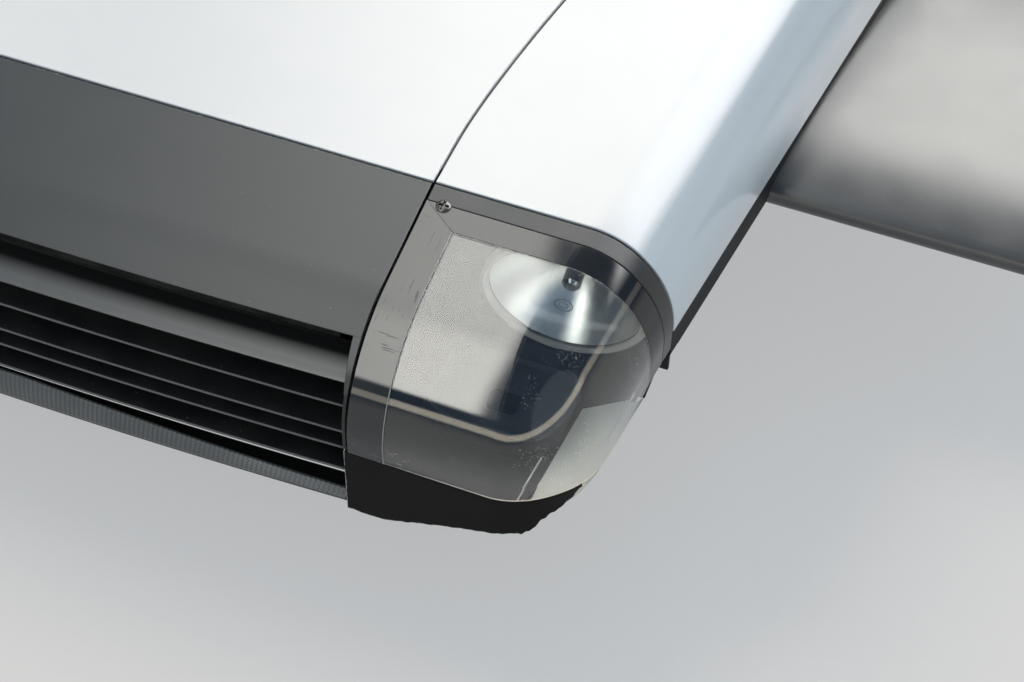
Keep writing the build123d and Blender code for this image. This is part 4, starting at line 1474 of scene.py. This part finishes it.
    def chin_skin(self) -> Surface:
        """Corner skin under the cover: columns round the corner, from the cover down to the worn edge.

        The lower edge follows the chin's line, roughened by waves that grow towards its outer end.

        Returns:
            The chin's skin.
        """
        base, way = BODY.round_corner(self.chin_inner, BODY.line_y - self.gap, (150, 150, 60))
        path = BODY.onto(base, way)[0]
        kept = path[:, 0] < BODY.seam_x + self.chin[-1][0]
        base, way, path = base[kept], way[kept], path[kept]
        out = path[:, 0] - BODY.seam_x
        (ragged, long, slow), (torn, short, middle), (frayed, fine) = self.ragged, self.torn, self.frayed
        waves = torn * np.sin(out / short) * np.sin(out / middle) + frayed * np.sin(out / fine)
        torn_share = np.clip((out - self.torn_from) / self.torn_over, 0, 1)
        edge = BODY.top_z - smooth_curve(out, self.chin) + torn_share * waves
        edge = edge + ragged * np.sin(out / long) * np.sin(out / slow + 1.0)
        top = self.low_edge(path[:, 1]) - self.band_gap
        share = np.linspace(0, 1, 40)[:, None]
        points = np.broadcast_to(base, (40, *base.shape)).copy()
        points[..., 2] = top[None] + (np.minimum(edge, top - 2.5)[None] - top[None]) * share
        return sheet(*BODY.onto(points, way[None]), 3.0, 0.6, (False, True, True, False))

    def screw(self) -> Surface:
        """Pan-head screw: a low dome less a cross-shaped recess, turned to lie on the frame.

        Returns:
            The screw's skin.
        """
        steps, rings = self.screw_counts
        turn = np.linspace(0, 2 * math.pi, steps, endpoint=False)[None]
        radius = np.concatenate([np.linspace(0.05, 1, rings), [1.0, 0.55]])[:, None] * self.screw_radius
        share = radius / self.screw_radius
        x, y = radius * np.cos(turn + self.screw_turn), radius * np.sin(turn + self.screw_turn)
        steep, slight = self.dome_fall
        dome = self.screw_dome * np.sqrt(np.clip(1 - steep * share**4, 0, 1)) - slight * share**2
        half, reach, (rim, wall) = self.slot_half, self.slot_reach, self.slot_wall
        arms = [np.maximum(np.abs(a) / half, np.abs(b) / reach) for a, b in ((x, y), (y, x))]
        height = dome - self.screw_dome * np.clip((rim - np.minimum(*arms)) / wall, 0, 1)
        height[rings:] = 0.0
        axis = BODY.nearest(np.array([self.screw_at]))[1][0]
        across = unit(np.cross(axis, np.array([0.0, 1, 0])))
        along = np.cross(axis, across)
        points = x[..., None] * across + y[..., None] * along + height[..., None] * axis + self.screw_at
        closed = np.concatenate([points, points[:, :1]], 1)
        normals = grid_normals(closed, axis)[:, :-1]
        normals[rings:] = -axis
        caps = [(np.arange(steps), axis), (np.arange(steps) + (rings + 1) * steps, -axis)]
        return grid_skin(points, normals, caps)

    def build(self, palette: Palette) -> None:
        """Makes both corners.

        Args:
            palette: The materials.
        """
        edge, clear = palette["sawn_cover_edge"], palette["clear_cover_acrylic"]
        band, back, left = self.strips()
        make_pairs((
            ("frame_band", band, [palette["black_frame_moulding"]], "black_satin", "lamp_surround"),
            # The two borders take the painted-sheen and painted-shade blacks.
            ("cover_border_top", back, [palette["top_border_painted_shade"]], "black_satin", ""),
            ("cover_border_inner", left, [palette["left_border_painted_sheen"]], "black_satin", ""),
            ("clear_cover", self.cover(), [clear, edge, clear], "clear_cover", "lamp_cover"),
            ("cover_bead", self.bead(), [edge], "clear_cover", ""),
            ("corner_chin", self.chin_skin(), [palette["worn_black_corner"]], "black_satin", "chin_corner"),
            ("cover_screw", self.screw(), [palette["steel_screw_head"]], "aluminium", ""),
        ))


@dataclass(frozen=True)
class Grille:
    """Hollow-faced bar, four slats and the woven lip between the two posts."""

    half: float = 328.9
    bow: float = 7.5
    bar_edge: Pair = (20.0, 56.0)
    bar_cove: Pair = (25.5, 21.5)
    bar_wall: float = 3.0
    bar_shade: Pair = (0.35, 0.75)
    slats: Table = ((17.5, 88.5), (12.5, 120.5), (9.5, 140.0), (5.5, 167.5))
    slat_depth: float = 34.0
    slat_wall: float = 3.0
    lip_section: Table = (
        (7.5, 190.0), (3.2, 197.5), (0.5, 205.0), (1.2, 210.0), (3.5, 213.5), (7.5, 215.0),
        (30.5, 215.0), (30.5, 212.0), (7.5, 212.0), (3.5, 205.0), (6.2, 197.5), (10.5, 190.0))
    lip_edge: float = 201.5
    lip_rise: float = 21.0
    lip_rise_power: float = 1.5
    lip_peak_round: float = 0.08
    lip_fold: float = 205.0
    lip_painted_shade_depth: float = 208.0
    lip_face: float = 9.0

    def _bowed(self, count: int = 61) -> Arrays:
        """Places across the grille, and how far each stands back from the middle on its bow.

        Args:
            count: Number of places.

        Returns:
            X of the places and their setbacks.
        """
        x = np.linspace(-self.half, self.half, count)
        radius = self.half**2 / (2 * self.bow)
        return x, radius - np.sqrt(radius**2 - x**2)

    def _side_view(self, pairs: Array) -> Array:
        """(setback, depth) pairs as (y, z) points at the middle of the bow."""
        y = BODY.line_y - BODY.reach + pairs[:, 0] - self.bow
        return np.stack([y, BODY.top_z - pairs[:, 1]], -1)

    def bar(self) -> Surface:
        """Bar whose face is a quarter ellipse, flaring forward to its lower edge, and its back another.

        Its "lit" attribute rises from 0 to 1 over the lower part of the way down and forward; above that the
        bar is painted near black as shade.

        Returns:
            The bar's skin.
        """
        turn = np.linspace(0, math.pi / 2, 33)[:, None]
        faces = []
        for grow, angles in ((0.0, turn), (self.bar_wall, turn[-2::-1])):
            deep, tall = (v + grow for v in self.bar_cove)
            y, z = deep * np.cos(angles), tall * np.sin(angles) - self.bar_cove[1]
            faces.append(np.concatenate([y, z], -1))
        x, back = self._bowed()
        loop = outline_loop(self._side_view(np.concatenate(faces) + np.array(self.bar_edge)), 0.5)
        bar = carried(*loop, x, np.stack([back, 0 * back], -1))
        down = np.tile(-loop[0].sum(-1), len(x))
        share = (down - down.min()) / (down.max() - down.min())
        # Painted shade: the upper part of the face, where "lit" is 0, is painted near black.
        bar.masks["lit"] = np.interp(share, self.bar_shade, (0, 1))
        return bar

    def slat(self, setback: float, depth: float) -> Surface:
        """One slat with a round front edge, whose "rim" mask feeds the painted highlight along that edge.

        Args:
            setback: Front edge's setback.
            depth: Its depth under the top line.

        Returns:
            The slat's skin.
        """
        half = self.slat_wall / 2
        pairs = np.array([[0, -half], [self.slat_depth, -half], [self.slat_depth, half], [0, half]])
        x, back = self._bowed()
        loop = outline_loop(self._side_view(pairs + np.array([setback, depth])), half * 0.9, 6)
        slat = carried(*loop, x, np.stack([back, 0 * back], -1))
        # Distance back from the front edge, where the slat finish paints its edge highlight.
        slat.masks["rim"] = np.tile(loop[0][:, 0] - loop[0][:, 0].min(), len(x))
        return slat

    def lip(self) -> Surface:
        """Lip with a leaning face, a rolled lower edge, painted near black as shade from there on, and a flat
        foot behind it.

        The section is drawn once, and above the fold its height is stretched by (fold - top) /
        (fold - drawn top). The top edge is at the edge's depth less the rise times a power of 1 -
        out, where out is the share of the half width with its middle rounded.

        Returns:
            The lip's skin.
        """
        pairs, fold = np.array(self.lip_section), self.lip_fold
        x, bowed = self._bowed(121)
        out = np.hypot(x / self.half, self.lip_peak_round) - self.lip_peak_round
        edge = self.lip_edge - self.lip_rise * np.clip(1 - out, 0, 1) ** self.lip_rise_power
        stretch = ((fold - edge) / (fold - pairs[:, 1].min()))[:, None]
        loop, normals = outline_loop(self._side_view(pairs), 0.7)
        above = np.maximum(loop[:, 1] - (BODY.top_z - fold), 0)
        rows, columns = len(x), len(loop)
        z = loop[:, 1] + above * (stretch - 1)
        points = np.stack([np.repeat(x[:, None], columns, 1), loop[:, 0] + bowed[:, None], z], -1)
        lean = normals[:, 1] * np.where(above > 0, 1 / stretch, 1.0)
        ways = unit(np.stack([0 * z, normals[:, 0] + 0 * z, lean], -1))
        # Painted shade: only the face keeps its colour; the rolled lower edge and all behind it are painted
        # near black.
        face = (loop[:, 1] > BODY.top_z - self.lip_painted_shade_depth) & (loop[:, 0] < loop[:, 0].min() + self.lip_face)
        lip = grid_skin(points, ways, end_caps(rows, columns))
        lip.masks["lit"] = np.tile(face.astype(float), rows)
        return lip

    def build(self, palette: Palette) -> None:
        """Makes the bar, the slats and the lip.

        Args:
            palette: The materials.
        """
        black = [palette["black_slat_plastic"]]
        make_piece("cove_bar", self.bar(), [palette["satin_black_bar"]], ("grille_bar",))
        slats = reduce(Surface.joined, [self.slat(*edge) for edge in self.slats])
        make_piece("slat_set", slats, black, ("grille_slats",))
        make_piece("woven_lip", self.lip(), [palette["woven_lip_resin"]], ("grille_lip",))


@dataclass(frozen=True)
class Headlamp:
    """Round lamp behind the cover: ring, glass, bowl, bulb and its cap."""

    centre: Triple = (459.0, -642.0, -49.0)
    tilt: float = -4.0
    pan: float = 3.0
    ring_radius: float = 78.5
    glass_radius: float = 72.0
    rim: float = 0.8
    dome: float = 6.5
    glass_wall: float = 2.4
    mark_rings: Table = ((9.0, 0.9), (4.6, 0.7))
    mark_rise: Pair = (-0.3, 0.35)
    bowl_front: float = -2.0
    bowl_depth: float = 54.0
    bowl_power: float = 1.7
    bowl_wall: Pair = (1.4, -2.2)
    bowl_inset: float = 1.5
    neck: float = 16.0
    bulb_radius: float = 9.0
    bulb_length: float = 42.0

    def axis(self) -> Axis:
        """Lamp's axis.

        Returns:
            The axis, at the lamp's centre.
        """
        tilt, pan = math.radians(self.tilt), math.radians(self.pan)
        facing = np.array([math.sin(pan) * math.cos(tilt), -math.cos(pan) * math.cos(tilt), math.sin(tilt)])
        return Axis(np.array(self.centre), np.array([math.cos(pan), math.sin(pan), 0.0]), facing)

    def ring(self) -> Surface:
        """Retaining ring with a rounded face.

        Returns:
            The ring's skin.
        """
        inner = self.glass_radius + 0.2
        outline = np.array([[inner, -3.2], [inner, 1.5], [inner - 1.5, 1.5], [inner - 1.5, 3.5],
                            [inner + 3, 5.5], [self.ring_radius, 3.0], [self.ring_radius, -3.2]])
        return self.axis().turned(*outline_loop(outline, 1.0), steps=160)

    def glass(self) -> Surface:
        """Domed glass: forward = rim + dome * (1 - share squared), the inner face a wall further back.

        Returns:
            The glass's skin.
        """
        share = np.linspace(0.002, 1, 40)
        forward = self.rim + self.dome * (1 - share**2)
        slope = 2 * self.dome * share / self.glass_radius
        faces = unit(np.stack([slope, np.ones_like(slope)], -1))
        outer = np.stack([share * self.glass_radius, forward], -1)
        inner = outer - np.array([0, self.glass_wall])
        outline = np.concatenate([outer, inner[::-1]])
        return self.axis().turned(outline, np.concatenate([faces, -faces[::-1]]), False, 128)

    def mark(self) -> Surface:
        """Two plain raised rings in the middle of the glass.

        Returns:
            Both rings' skin.
        """
        low, high = (self.rim + self.dome + rise for rise in self.mark_rise)
        rings = []
        for radius, width in self.mark_rings:
            outline = np.array([[radius - width, low], [radius, low], [radius, high], [radius - width, high]])
            rings.append(self.axis().turned(*outline_loop(outline, 0.25)))
        return reduce(Surface.joined, rings)

    def bowl(self) -> Surface:
        """Bowl: its depth falls with a power of the share from the neck to the edge; it has a wall.

        Returns:
            The bowl's skin.
        """
        edge = self.glass_radius - self.bowl_inset
        radius = np.linspace(self.neck, edge, 40)
        share = (radius - self.neck) / (edge - self.neck)
        depth = self.bowl_depth * (1 - share**self.bowl_power)
        inside = np.stack([radius, self.bowl_front - depth], -1)
        outside = inside[::-1] + np.array(self.bowl_wall)
        return self.axis().turned(*outline_loop(np.concatenate([inside, outside]), 0.3), steps=128)

    def bulb(self) -> Surface:
        """Bulb's seat and glass with a round-edged cap.

        Returns:
            The bulb's skin.
        """
        back, seat, r = self.bowl_front - self.bowl_depth, self.neck - 0.1, self.bulb_radius
        top = back + self.bulb_length
        outline = np.array([[0.05, back - 16], [seat, back - 16], [seat, back + 1], [r, back + 2],
                            [r, top - 9], [r + 0.01, top - 3], [r - 3, top], [0.05, top]])
        loop, normals = outline_loop(outline, 1.2)
        keep = loop[:, 0] > 0.3
        return self.axis().turned(loop[keep], normals[keep], False, 64)

    def build(self, palette: Palette) -> None:
        """Makes both lamps.

        Args:
            palette: The materials.
        """
        make_pairs((
            ("lamp_ring", self.ring(), [palette["pale_ring_plastic"]], "ring_plastic", "headlamp_ring"),
            ("lamp_glass", self.glass(), [palette["lamp_front_glass"]], "lamp_glass", "headlamp_lens"),
            ("lamp_mark", self.mark(), [palette["lamp_mark_ridge"]], "lamp_glass", ""),
            ("lamp_bowl", self.bowl(), [palette["lamp_bowl_metal"]], "lamp_chrome", "headlamp_reflector"),
            ("lamp_bulb", self.bulb(), [palette["dull_bulb_cap"]], "bulb", "headlamp_bulb"),
        ))


@dataclass(frozen=True)
class LampTray:
    """Dark open tray under and ahead of each lamp, and the pale floor outboard of it."""

    low: Pair = (371.5, -778.5)
    high: Pair = (495.0, -676.0)
    radius: float = 30.0
    floor_z: float = -110.0
    rim_z: float = -80.0
    wall: float = 2.5
    rim_width: float = 4.0
    foot_round: float = 4.0
    pale_inner: Table = ((488.0, -834.0), (501.5, -708.0))
    pale_rear: float = -679.0
    pale_inset: float = 6.0
    pale_counts: Counts = (30, 60, 40)
    pale_columns: int = 24
    level_roll: float = 0.3
    strip_shift: Pair = (-9.5, 2.0)
    strip_share: float = 0.85
    strip_half: float = 0.6
    strip_high: float = 3.0
    apron_low: Triple = (331.0, -662.0, -131.2)
    apron_high: Triple = (545.0, -621.0, -129.2)
    apron_counts: tuple[int, int] = (40, 9)
    apron_roll: float = 0.4

    def pale_floor(self) -> Surface:
        """Thin floor ruled from a straight inner edge to a line a little inside the body's form. Its pale
        finish is partly the floor's own grey and partly painted sunlight, and the straight inner edge is a
        painted shadow edge.

        Returns:
            The floor's skin.
        """
        z = self.floor_z + 1.0
        base, way = BODY.round_corner(self.pale_inner[0][0] + 2.0, self.pale_rear, self.pale_counts)
        base[:, 2] = z
        outer, normals = BODY.onto(base, way)
        outer = outer - normals * self.pale_inset
        share = np.linspace(0, 1, len(outer))[:, None]
        first, last = (np.array([*corner, z]) for corner in self.pale_inner)
        inner = first + (last - first) * share
        across = np.linspace(0, 1, self.pale_columns)[None, :, None]
        x, y, _ = np.moveaxis(inner[:, None] + (outer - inner)[:, None] * across, -1, 0)
        return level_sheet(x, y, z, 1.0, self.level_roll)

    def apron(self) -> Surface:
        """Level dark strip that closes the gap under the lamp, between the ledge and the wall.

        Returns:
            The apron's skin.
        """
        (x0, y0, z0), (x1, y1, z1) = self.apron_low, self.apron_high
        columns, rows = self.apron_counts
        x, y = np.meshgrid(np.linspace(x0, x1, columns), np.linspace(y0, y1, rows))
        return level_sheet(x, y, z1, z1 - z0, self.apron_roll)

    def bright_edge(self) -> Surface:
        """Thin raised strip a little inboard of the pale floor's inner edge.

        Returns:
            The edge strip's skin.
        """
        (x0, y0), (x1, y1) = self.pale_inner
        along = np.linspace(0.0, self.strip_share, 30)[:, None]
        across = np.linspace(-self.strip_half, self.strip_half, 5)[None]
        x = x0 + self.strip_shift[0] + (x1 - x0) * along + across
        y = y0 + self.strip_shift[1] + (y1 - y0) * along + 0 * across
        return level_sheet(x, y, self.floor_z + self.strip_high, self.strip_high, self.level_roll)

    def outline(self) -> Arrays:
        """Points of a rounded rectangle in plan and their outward normals."""
        (x0, y0), (x1, y1) = self.low, self.high
        return outline_loop(np.array([[x0, y0], [x1, y0], [x1, y1], [x0, y1]]), self.radius, 16)

    def shell(self) -> Surface:
        """Outline carried down a section: rim, inner wall, floor to the middle, and back outside.

        Returns:
            The tray's skin.
        """
        loop, normals = self.outline()
        middle, foot = loop.mean(0), self.wall + self.foot_round
        floor, rim = self.floor_z + self.wall, self.rim_z
        section = ((0, self.floor_z), (0, rim - 1.5), (0, rim), (-self.rim_width, rim),
                   (-self.rim_width, rim - self.wall), (-self.wall, rim - self.wall),
                   (-self.wall, floor + self.foot_round), (-foot, floor))
        plans = [(loop + normals * grow, z) for grow, z in section]
        plans += [(middle + (loop - normals * foot - middle) * share, floor) for share in (0.5, 0.02)]
        plans += [(middle + (loop - middle) * share, self.floor_z) for share in (0.02, 1.0)]
        points = np.stack([np.concatenate([plan, np.full((len(loop), 1), z)], -1) for plan, z in plans])
        rows, columns = points.shape[:2]
        seam = rows - 3
        cells = grid_cells(rows, columns, ring_columns=True)
        cells = cells[cells[:, 0] // columns != seam]
        p = points.reshape(-1, 3)[cells]
        facing = unit(np.cross(p[:, 2] - p[:, 0], p[:, 3] - p[:, 1]))
        caps = [(np.arange(columns) + seam * columns, UP), (np.arange(columns) + (seam + 1) * columns, -UP)]
        return Surface(points.reshape(-1, 3), cells, np.repeat(facing[:, None], 4, 1),
                       np.zeros(len(cells), int), caps)

    def build(self, palette: Palette) -> None:
        """Makes both trays, floors, edge strips and aprons.

        Args:
            palette: The materials.
        """
        dark = [palette["bay_dark_liner"]]
        make_pairs((
            ("bay_tray", self.shell(), dark, "black_plastic", "lamp_tray"),
            ("bay_floor", self.pale_floor(), [palette["bay_floor_pale"]], "bay_grey", ""),
            ("liner_edge", self.bright_edge(), [palette["liner_bright_edge"]], "bay_grey", ""),
            ("bay_apron", self.apron(), dark, "black_plastic", ""),
        ))


@dataclass(frozen=True)
class ArmFairing:
    """Aerofoil shell over each suspension arm."""

    leading_y: float = -427.0
    centre_z: float = -91.0
    chord: float = 392.0
    thick: float = 56.0
    nose: float = 14.0
    thickest: float = 110.0
    tail: float = 6.0
    root_x: float = 500.0
    tip_x: float = 860.0
    tip_roll: float = 6.0
    tip_inset: float = 2.8
    arc_counts: Counts = (14, 16, 22)

    def section(self) -> Arrays:
        """Nose arc, rise to the thickest place and long fall to the tail, on both sides.

        Returns:
            Its points and normals as (y, z).
        """
        half, tail = self.thick / 2, self.tail / 2
        rise = ((self.thickest - self.nose) ** 2 + half**2 - self.nose**2) / (2 * (half - self.nose))
        behind = self.chord - self.thickest
        fall = (behind**2 + (half - tail) ** 2) / (2 * (half - tail))
        meet = math.atan2(rise - half, self.nose - self.thickest)
        last = math.pi / 2 - math.asin(behind / fall)
        arcs = ((self.nose, 0.0, self.nose, math.pi, meet),
                (self.thickest, half - rise, rise, meet, math.pi / 2),
                (self.thickest, half - fall, fall, math.pi / 2, last))
        upper = []
        for (y, z, radius, start, end), count in zip(arcs, self.arc_counts):
            turn = np.linspace(start, end, count)[1:]
            upper.append(np.stack([y + radius * np.cos(turn), z + radius * np.sin(turn)], -1))
        upper = np.concatenate([np.array([[0.0, 0.0]]), *upper])
        lower = upper[:0:-1] * np.array([1, -1])
        return outline_loop(np.concatenate([upper, lower]) + np.array([self.leading_y, self.centre_z]), 1.2)

    def shell(self) -> Surface:
        """Section carried outboard, its end rolled over.

        Returns:
            The fairing's skin.
        """
        flat = np.linspace(self.root_x, self.tip_x - self.tip_roll, 30)
        turn = np.linspace(0, math.pi / 2, 7)[1:]
        x = np.concatenate([flat, flat[-1] + self.tip_roll * np.sin(turn)])
        tilt = np.concatenate([0 * flat, turn])
        inset = self.tip_inset * (1 - np.cos(tilt))
        return carried(*self.section(), x, np.zeros((len(x), 2)), inset, tilt)

    def build(self, palette: Palette) -> None:
        """Makes both fairings."""
        black = [palette["black_arm_shell"]]
        make_pairs((("arm_shell", self.shell(), black, "black_satin", "arm_fairing"),))


@dataclass(frozen=True)
class Framework:
    """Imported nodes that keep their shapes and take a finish."""

    finishes: tuple[tuple[str, str], ...] = (
        ("sill", "matt_black_sill"), ("seam_flange", "frame_steel_black"),
        ("grille_end_plate", "black_duct_plastic"), ("lamp_wall", "bay_dark_liner"),
        ("lamp_ledge", "bay_dark_liner"), ("arm_spar", "frame_steel_black"),
        ("arm_tip_block", "turned_aluminium"), ("chassis_rail", "frame_steel_black"),
        ("cross_members", "frame_steel_black"), ("floor_pan", "black_duct_plastic"),
        ("rear_bulkhead", "frame_steel_black"), ("radiator_core", "radiator_alloy"),
    )

    def dress(self, nodes: dict[str, bpy.types.Object], palette: Palette) -> None:
        """Gives each shown node its material.

        Args:
            nodes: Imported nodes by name.
            palette: The materials.
        """
        for name, node in nodes.items():
            chosen = [finish for start, finish in self.finishes if name.startswith(start)]
            if chosen and not node.hide_render:
                for slot in node.material_slots:
                    slot.material = palette[chosen[0]]
                LOG.info("%s takes %s", name, chosen[0])


@dataclass(frozen=True)
class Studio:
    """Floor, soft lamps and camera."""

    floor_z: float = -0.300
    camera_at: Triple = (0.7918, -1.6869, 1.3475)
    azimuth: float = 20.12
    elevation: float = 53.1
    roll: float = 0.75
    lens: float = 70.31
    floor_colour: Triple = (0.30, 0.30, 0.30)
    floor_shine: float = 0.42
    floor_half: float = 8.0
    floor_roughness: float = 0.9
    floor_gloss: float = 0.1
    floor_grain: float = 60.0
    floor_dark: float = 0.94
    backdrop: Triple = (0.85, 0.85, 0.85)
    dome: Triple = (0.38, 0.46, 0.53)
    bank: float = 5.9
    bank_tint: Triple = (1.0, 0.995, 0.95)
    front_tint: Triple = (1.0, 0.99, 0.93)
    bank_faded: Triple = (0.7, 0.85, 0.97)
    bank_edge: float = -0.2075
    bank_lean: float = 0.0079
    bank_fade: Pair = (0.24, 0.43)
    behind_slope: float = 0.115
    behind_start: Pair = (0.418, 0.432)
    behind_end: Pair = (0.70, 0.88)
    behind_gain: float = 0.6
    behind_gain_span: Pair = (-0.15, 0.45)
    front_gain: float = 0.28
    front_gain_span: Pair = (-0.15, 0.25)
    bank_blur: Pair = (-0.003, 0.010)
    edge_lines: Table = ((0.013, 0.006), (0.065, 0.014))
    edge_light: Triple = (0.65, 0.75, 0.85)
    bank_low: Pair = (0.34, 0.42)
    glow_way: Triple = (-0.07, 0.64, 0.765)
    glow: float = 7.0
    glow_tint: Triple = (1.0, 0.99, 0.95)
    glow_spread: Pair = (12.0, 5.0)
    horizon: Pair = (-0.02, 0.08)
    ground: Triple = (0.55, 0.56, 0.57)
    dim_side: Triple = (0.17, 0.25, 0.36)
    skyline: Pair = (0.09, 0.21)
    skyline_front: Pair = (0.20, 0.45)
    skyline_light: Triple = (3.2, 3.0, 2.55)
    suns: tuple[tuple[str, Triple, float, float, Triple], ...] = (
        ("key_lamp", (-0.6, 0.3, 0.74), 1.96, 26.0, (1.0, 0.82, 0.66)),
        ("side_fill", (0.92, -0.30, 0.25), 0.55, 60.0, (0.80, 0.93, 1.0)))

    def floor(self) -> None:
        """Pale floor that lenses and metal see as pale too, and that keeps the car's shadow."""
        mesh = bpy.data.meshes.new("studio_floor")
        half = self.floor_half
        corners = [(-half, -half), (half, -half), (half, half), (-half, half)]
        mesh.from_pydata([(x, y, self.floor_z) for x, y in corners], [], [(0, 1, 2, 3)])
        floor = new_object("studio_floor", mesh)
        material, graph, sockets = start_material("studio_floor")
        path = graph.add("ShaderNodeLightPath").outputs
        seen = graph.sum("MAXIMUM", path["Is Camera Ray"], path["Is Transmission Ray"])
        seen = graph.sum("MAXIMUM", seen, path["Is Glossy Ray"])
        grain = graph.noise(graph.place(), self.floor_grain)
        darker = tinted(self.floor_dark, self.floor_colour)
        graph.feed(sockets["Base Color"], graph.mix(grain, darker, (*self.floor_colour, 1)))
        sockets["Emission Color"].default_value = (1, 1, 1, 1)
        graph.feed(sockets["Emission Strength"], graph.times(seen, self.floor_shine))
        sockets["Roughness"].default_value = self.floor_roughness
        sockets["Specular IOR Level"].default_value = self.floor_gloss
        mesh.materials.append(material)

    def world(self) -> None:
        """Even cool dome for matt surfaces, and a bank of light with a soft skyline for glossy ones.

        The bank is bright where the way's X is under the bank's edge, and behind the car, where Y
        plus a slope times X is over a start, it goes on far to the right. It fades to the left and
        gains towards the front. A round glow stands behind, and a narrow skyline in front. Glass
        passes the same bank on from above, and the plain backdrop from below.
        """
        world = bpy.data.worlds.new("studio_world")
        bpy.context.scene.world = world
        world.use_nodes = True
        world.cycles.sampling_method = "NONE"
        graph = Graph(world.node_tree)
        background = world.node_tree.nodes["Background"].inputs
        way = graph.add("ShaderNodeTexCoord").outputs["Generated"]
        parts = graph.add("ShaderNodeSeparateXYZ")
        graph.feed(parts.inputs[0], way)
        x, y, z = (parts.outputs[name] for name in "XYZ")
        past = graph.sum("MULTIPLY_ADD", y, -self.bank_lean, graph.sum("SUBTRACT", x, self.bank_edge))
        behind = graph.step(graph.sum("MULTIPLY_ADD", x, self.behind_slope, y), *self.behind_start)
        behind = graph.times(behind, graph.rest(graph.step(x, *self.behind_end)))
        lit = graph.sum("MAXIMUM", behind, graph.rest(graph.step(past, *self.bank_blur)))
        fade = graph.step(graph.times(x, -1.0), *self.bank_fade)
        ahead = graph.step(graph.times(y, -1.0), *self.front_gain_span)
        gained = graph.mix(ahead, tinted(self.bank, self.bank_tint),
                           tinted(self.bank * (1 + self.front_gain), self.front_tint))
        strong = graph.mix(fade, gained, (*self.bank_faded, 1))
        shoulder = tinted(self.bank * (1 + self.behind_gain), (1, 1, 1))
        strong = graph.mix(graph.step(x, *self.behind_gain_span), strong, shoulder)
        lines = graph.sum("ADD", *(self._bar(graph, past, *line) for line in self.edge_lines))
        dim = graph.mix(lines, (*self.dim_side, 1), (*self.edge_light, 1))
        upper = graph.mix(lit, dim, strong)
        dot = graph.add("ShaderNodeVectorMath", operation="DOT_PRODUCT")
        graph.feed(dot.inputs[0], way)
        dot.inputs[1].default_value = tuple(unit(np.array(self.glow_way)))
        near = graph.step(dot.outputs["Value"], *(math.cos(math.radians(v)) for v in self.glow_spread))
        upper = graph.mix(near, upper, tinted(self.glow, self.glow_tint))
        low = graph.mix(graph.step(z, *self.horizon), (*self.ground, 1), (*self.dim_side, 1))
        bar = self._bar(graph, z, sum(self.skyline) / 2, (self.skyline[1] - self.skyline[0]) / 2)
        front = graph.rest(graph.step(y, *self.skyline_front))
        lower = graph.mix(graph.times(bar, front), low, (*self.skyline_light, 1))
        glossy = graph.mix(graph.step(z, *self.bank_low), lower, upper)
        path = graph.add("ShaderNodeLightPath").outputs
        through, above = path["Is Transmission Ray"], graph.step(z, 0.0, 0.1)
        shiny = graph.sum("MAXIMUM", path["Is Glossy Ray"], graph.times(through, above))
        light = graph.mix(shiny, (*self.dome, 1), glossy)
        level = graph.times(through, graph.rest(above))
        seen = graph.sum("MAXIMUM", path["Is Camera Ray"], level)
        graph.feed(background["Color"], graph.mix(seen, light, (*self.backdrop, 1)))
        background["Strength"].default_value = 1.0

    def _bar(self, graph: Graph, value: object, middle: float, half: float) -> Socket:
        """Soft bar: from 1 near a middle value down to 0 a little further than half from it."""
        gap = graph.sum("ABSOLUTE", graph.sum("SUBTRACT", value, middle))
        return graph.rest(graph.step(gap, half * 0.6, half * 1.2))

    def sun(self, name: str, towards: Triple, power: float, spread: float, colour: Triple) -> None:
        """Wide soft lamp that shines from a direction and isn't seen in reflections.

        Args:
            name: Its name.
            towards: Way from the car to it.
            power: Its strength.
            spread: Its width in degrees.
            colour: Its colour.
        """
        light = bpy.data.lights.new(name, "SUN")
        light.energy, light.angle, light.color = power, math.radians(spread), colour
        lamp = new_object(name, light)
        back = unit(np.array(towards))
        right = unit(np.cross(np.array([0.0, 1.0, 0.1]), back))
        lamp.matrix_world = pose(right, np.cross(back, right), back, back * 3)
        lamp.visible_glossy = False

    def camera(self) -> None:
        """Camera at the fitted place and angles."""
        a, e, r = (math.radians(v) for v in (self.azimuth, self.elevation, self.roll))
        back = np.array([math.sin(a) * math.cos(e), -math.cos(a) * math.cos(e), math.sin(e)])
        right = unit(np.cross(-back, UP))
        up = np.cross(right, -back)
        across = math.cos(r) * right + math.sin(r) * up
        upright = -math.sin(r) * right + math.cos(r) * up
        data = bpy.data.cameras.new("camera")
        data.lens, data.sensor_width, data.sensor_fit = self.lens, 36.0, "HORIZONTAL"
        camera = new_object("camera", data)
        camera.matrix_world = pose(across, upright, back, np.array(self.camera_at))
        bpy.context.scene.camera = camera

    def build(self) -> None:
        """Sets up the whole studio."""
        bpy.context.scene.view_settings.view_transform = "Standard"
        self.floor()
        self.world()
        for sun in self.suns:
            self.sun(*sun)
        self.camera()


def main() -> None:
    """Loads the frame, builds and dresses every sub-assembly."""
    logging.basicConfig(level=logging.INFO, format="%(name)s: %(message)s")
    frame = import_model()
    palette = make_palette()
    Studio().build()
    for assembly in (WhitePanels, NosePanel, LampCorner, Grille, Headlamp, LampTray, ArmFairing):
        assembly().build(palette)
    Framework().dress(frame["nodes"], palette)


if __name__ == "__main__":
    main()
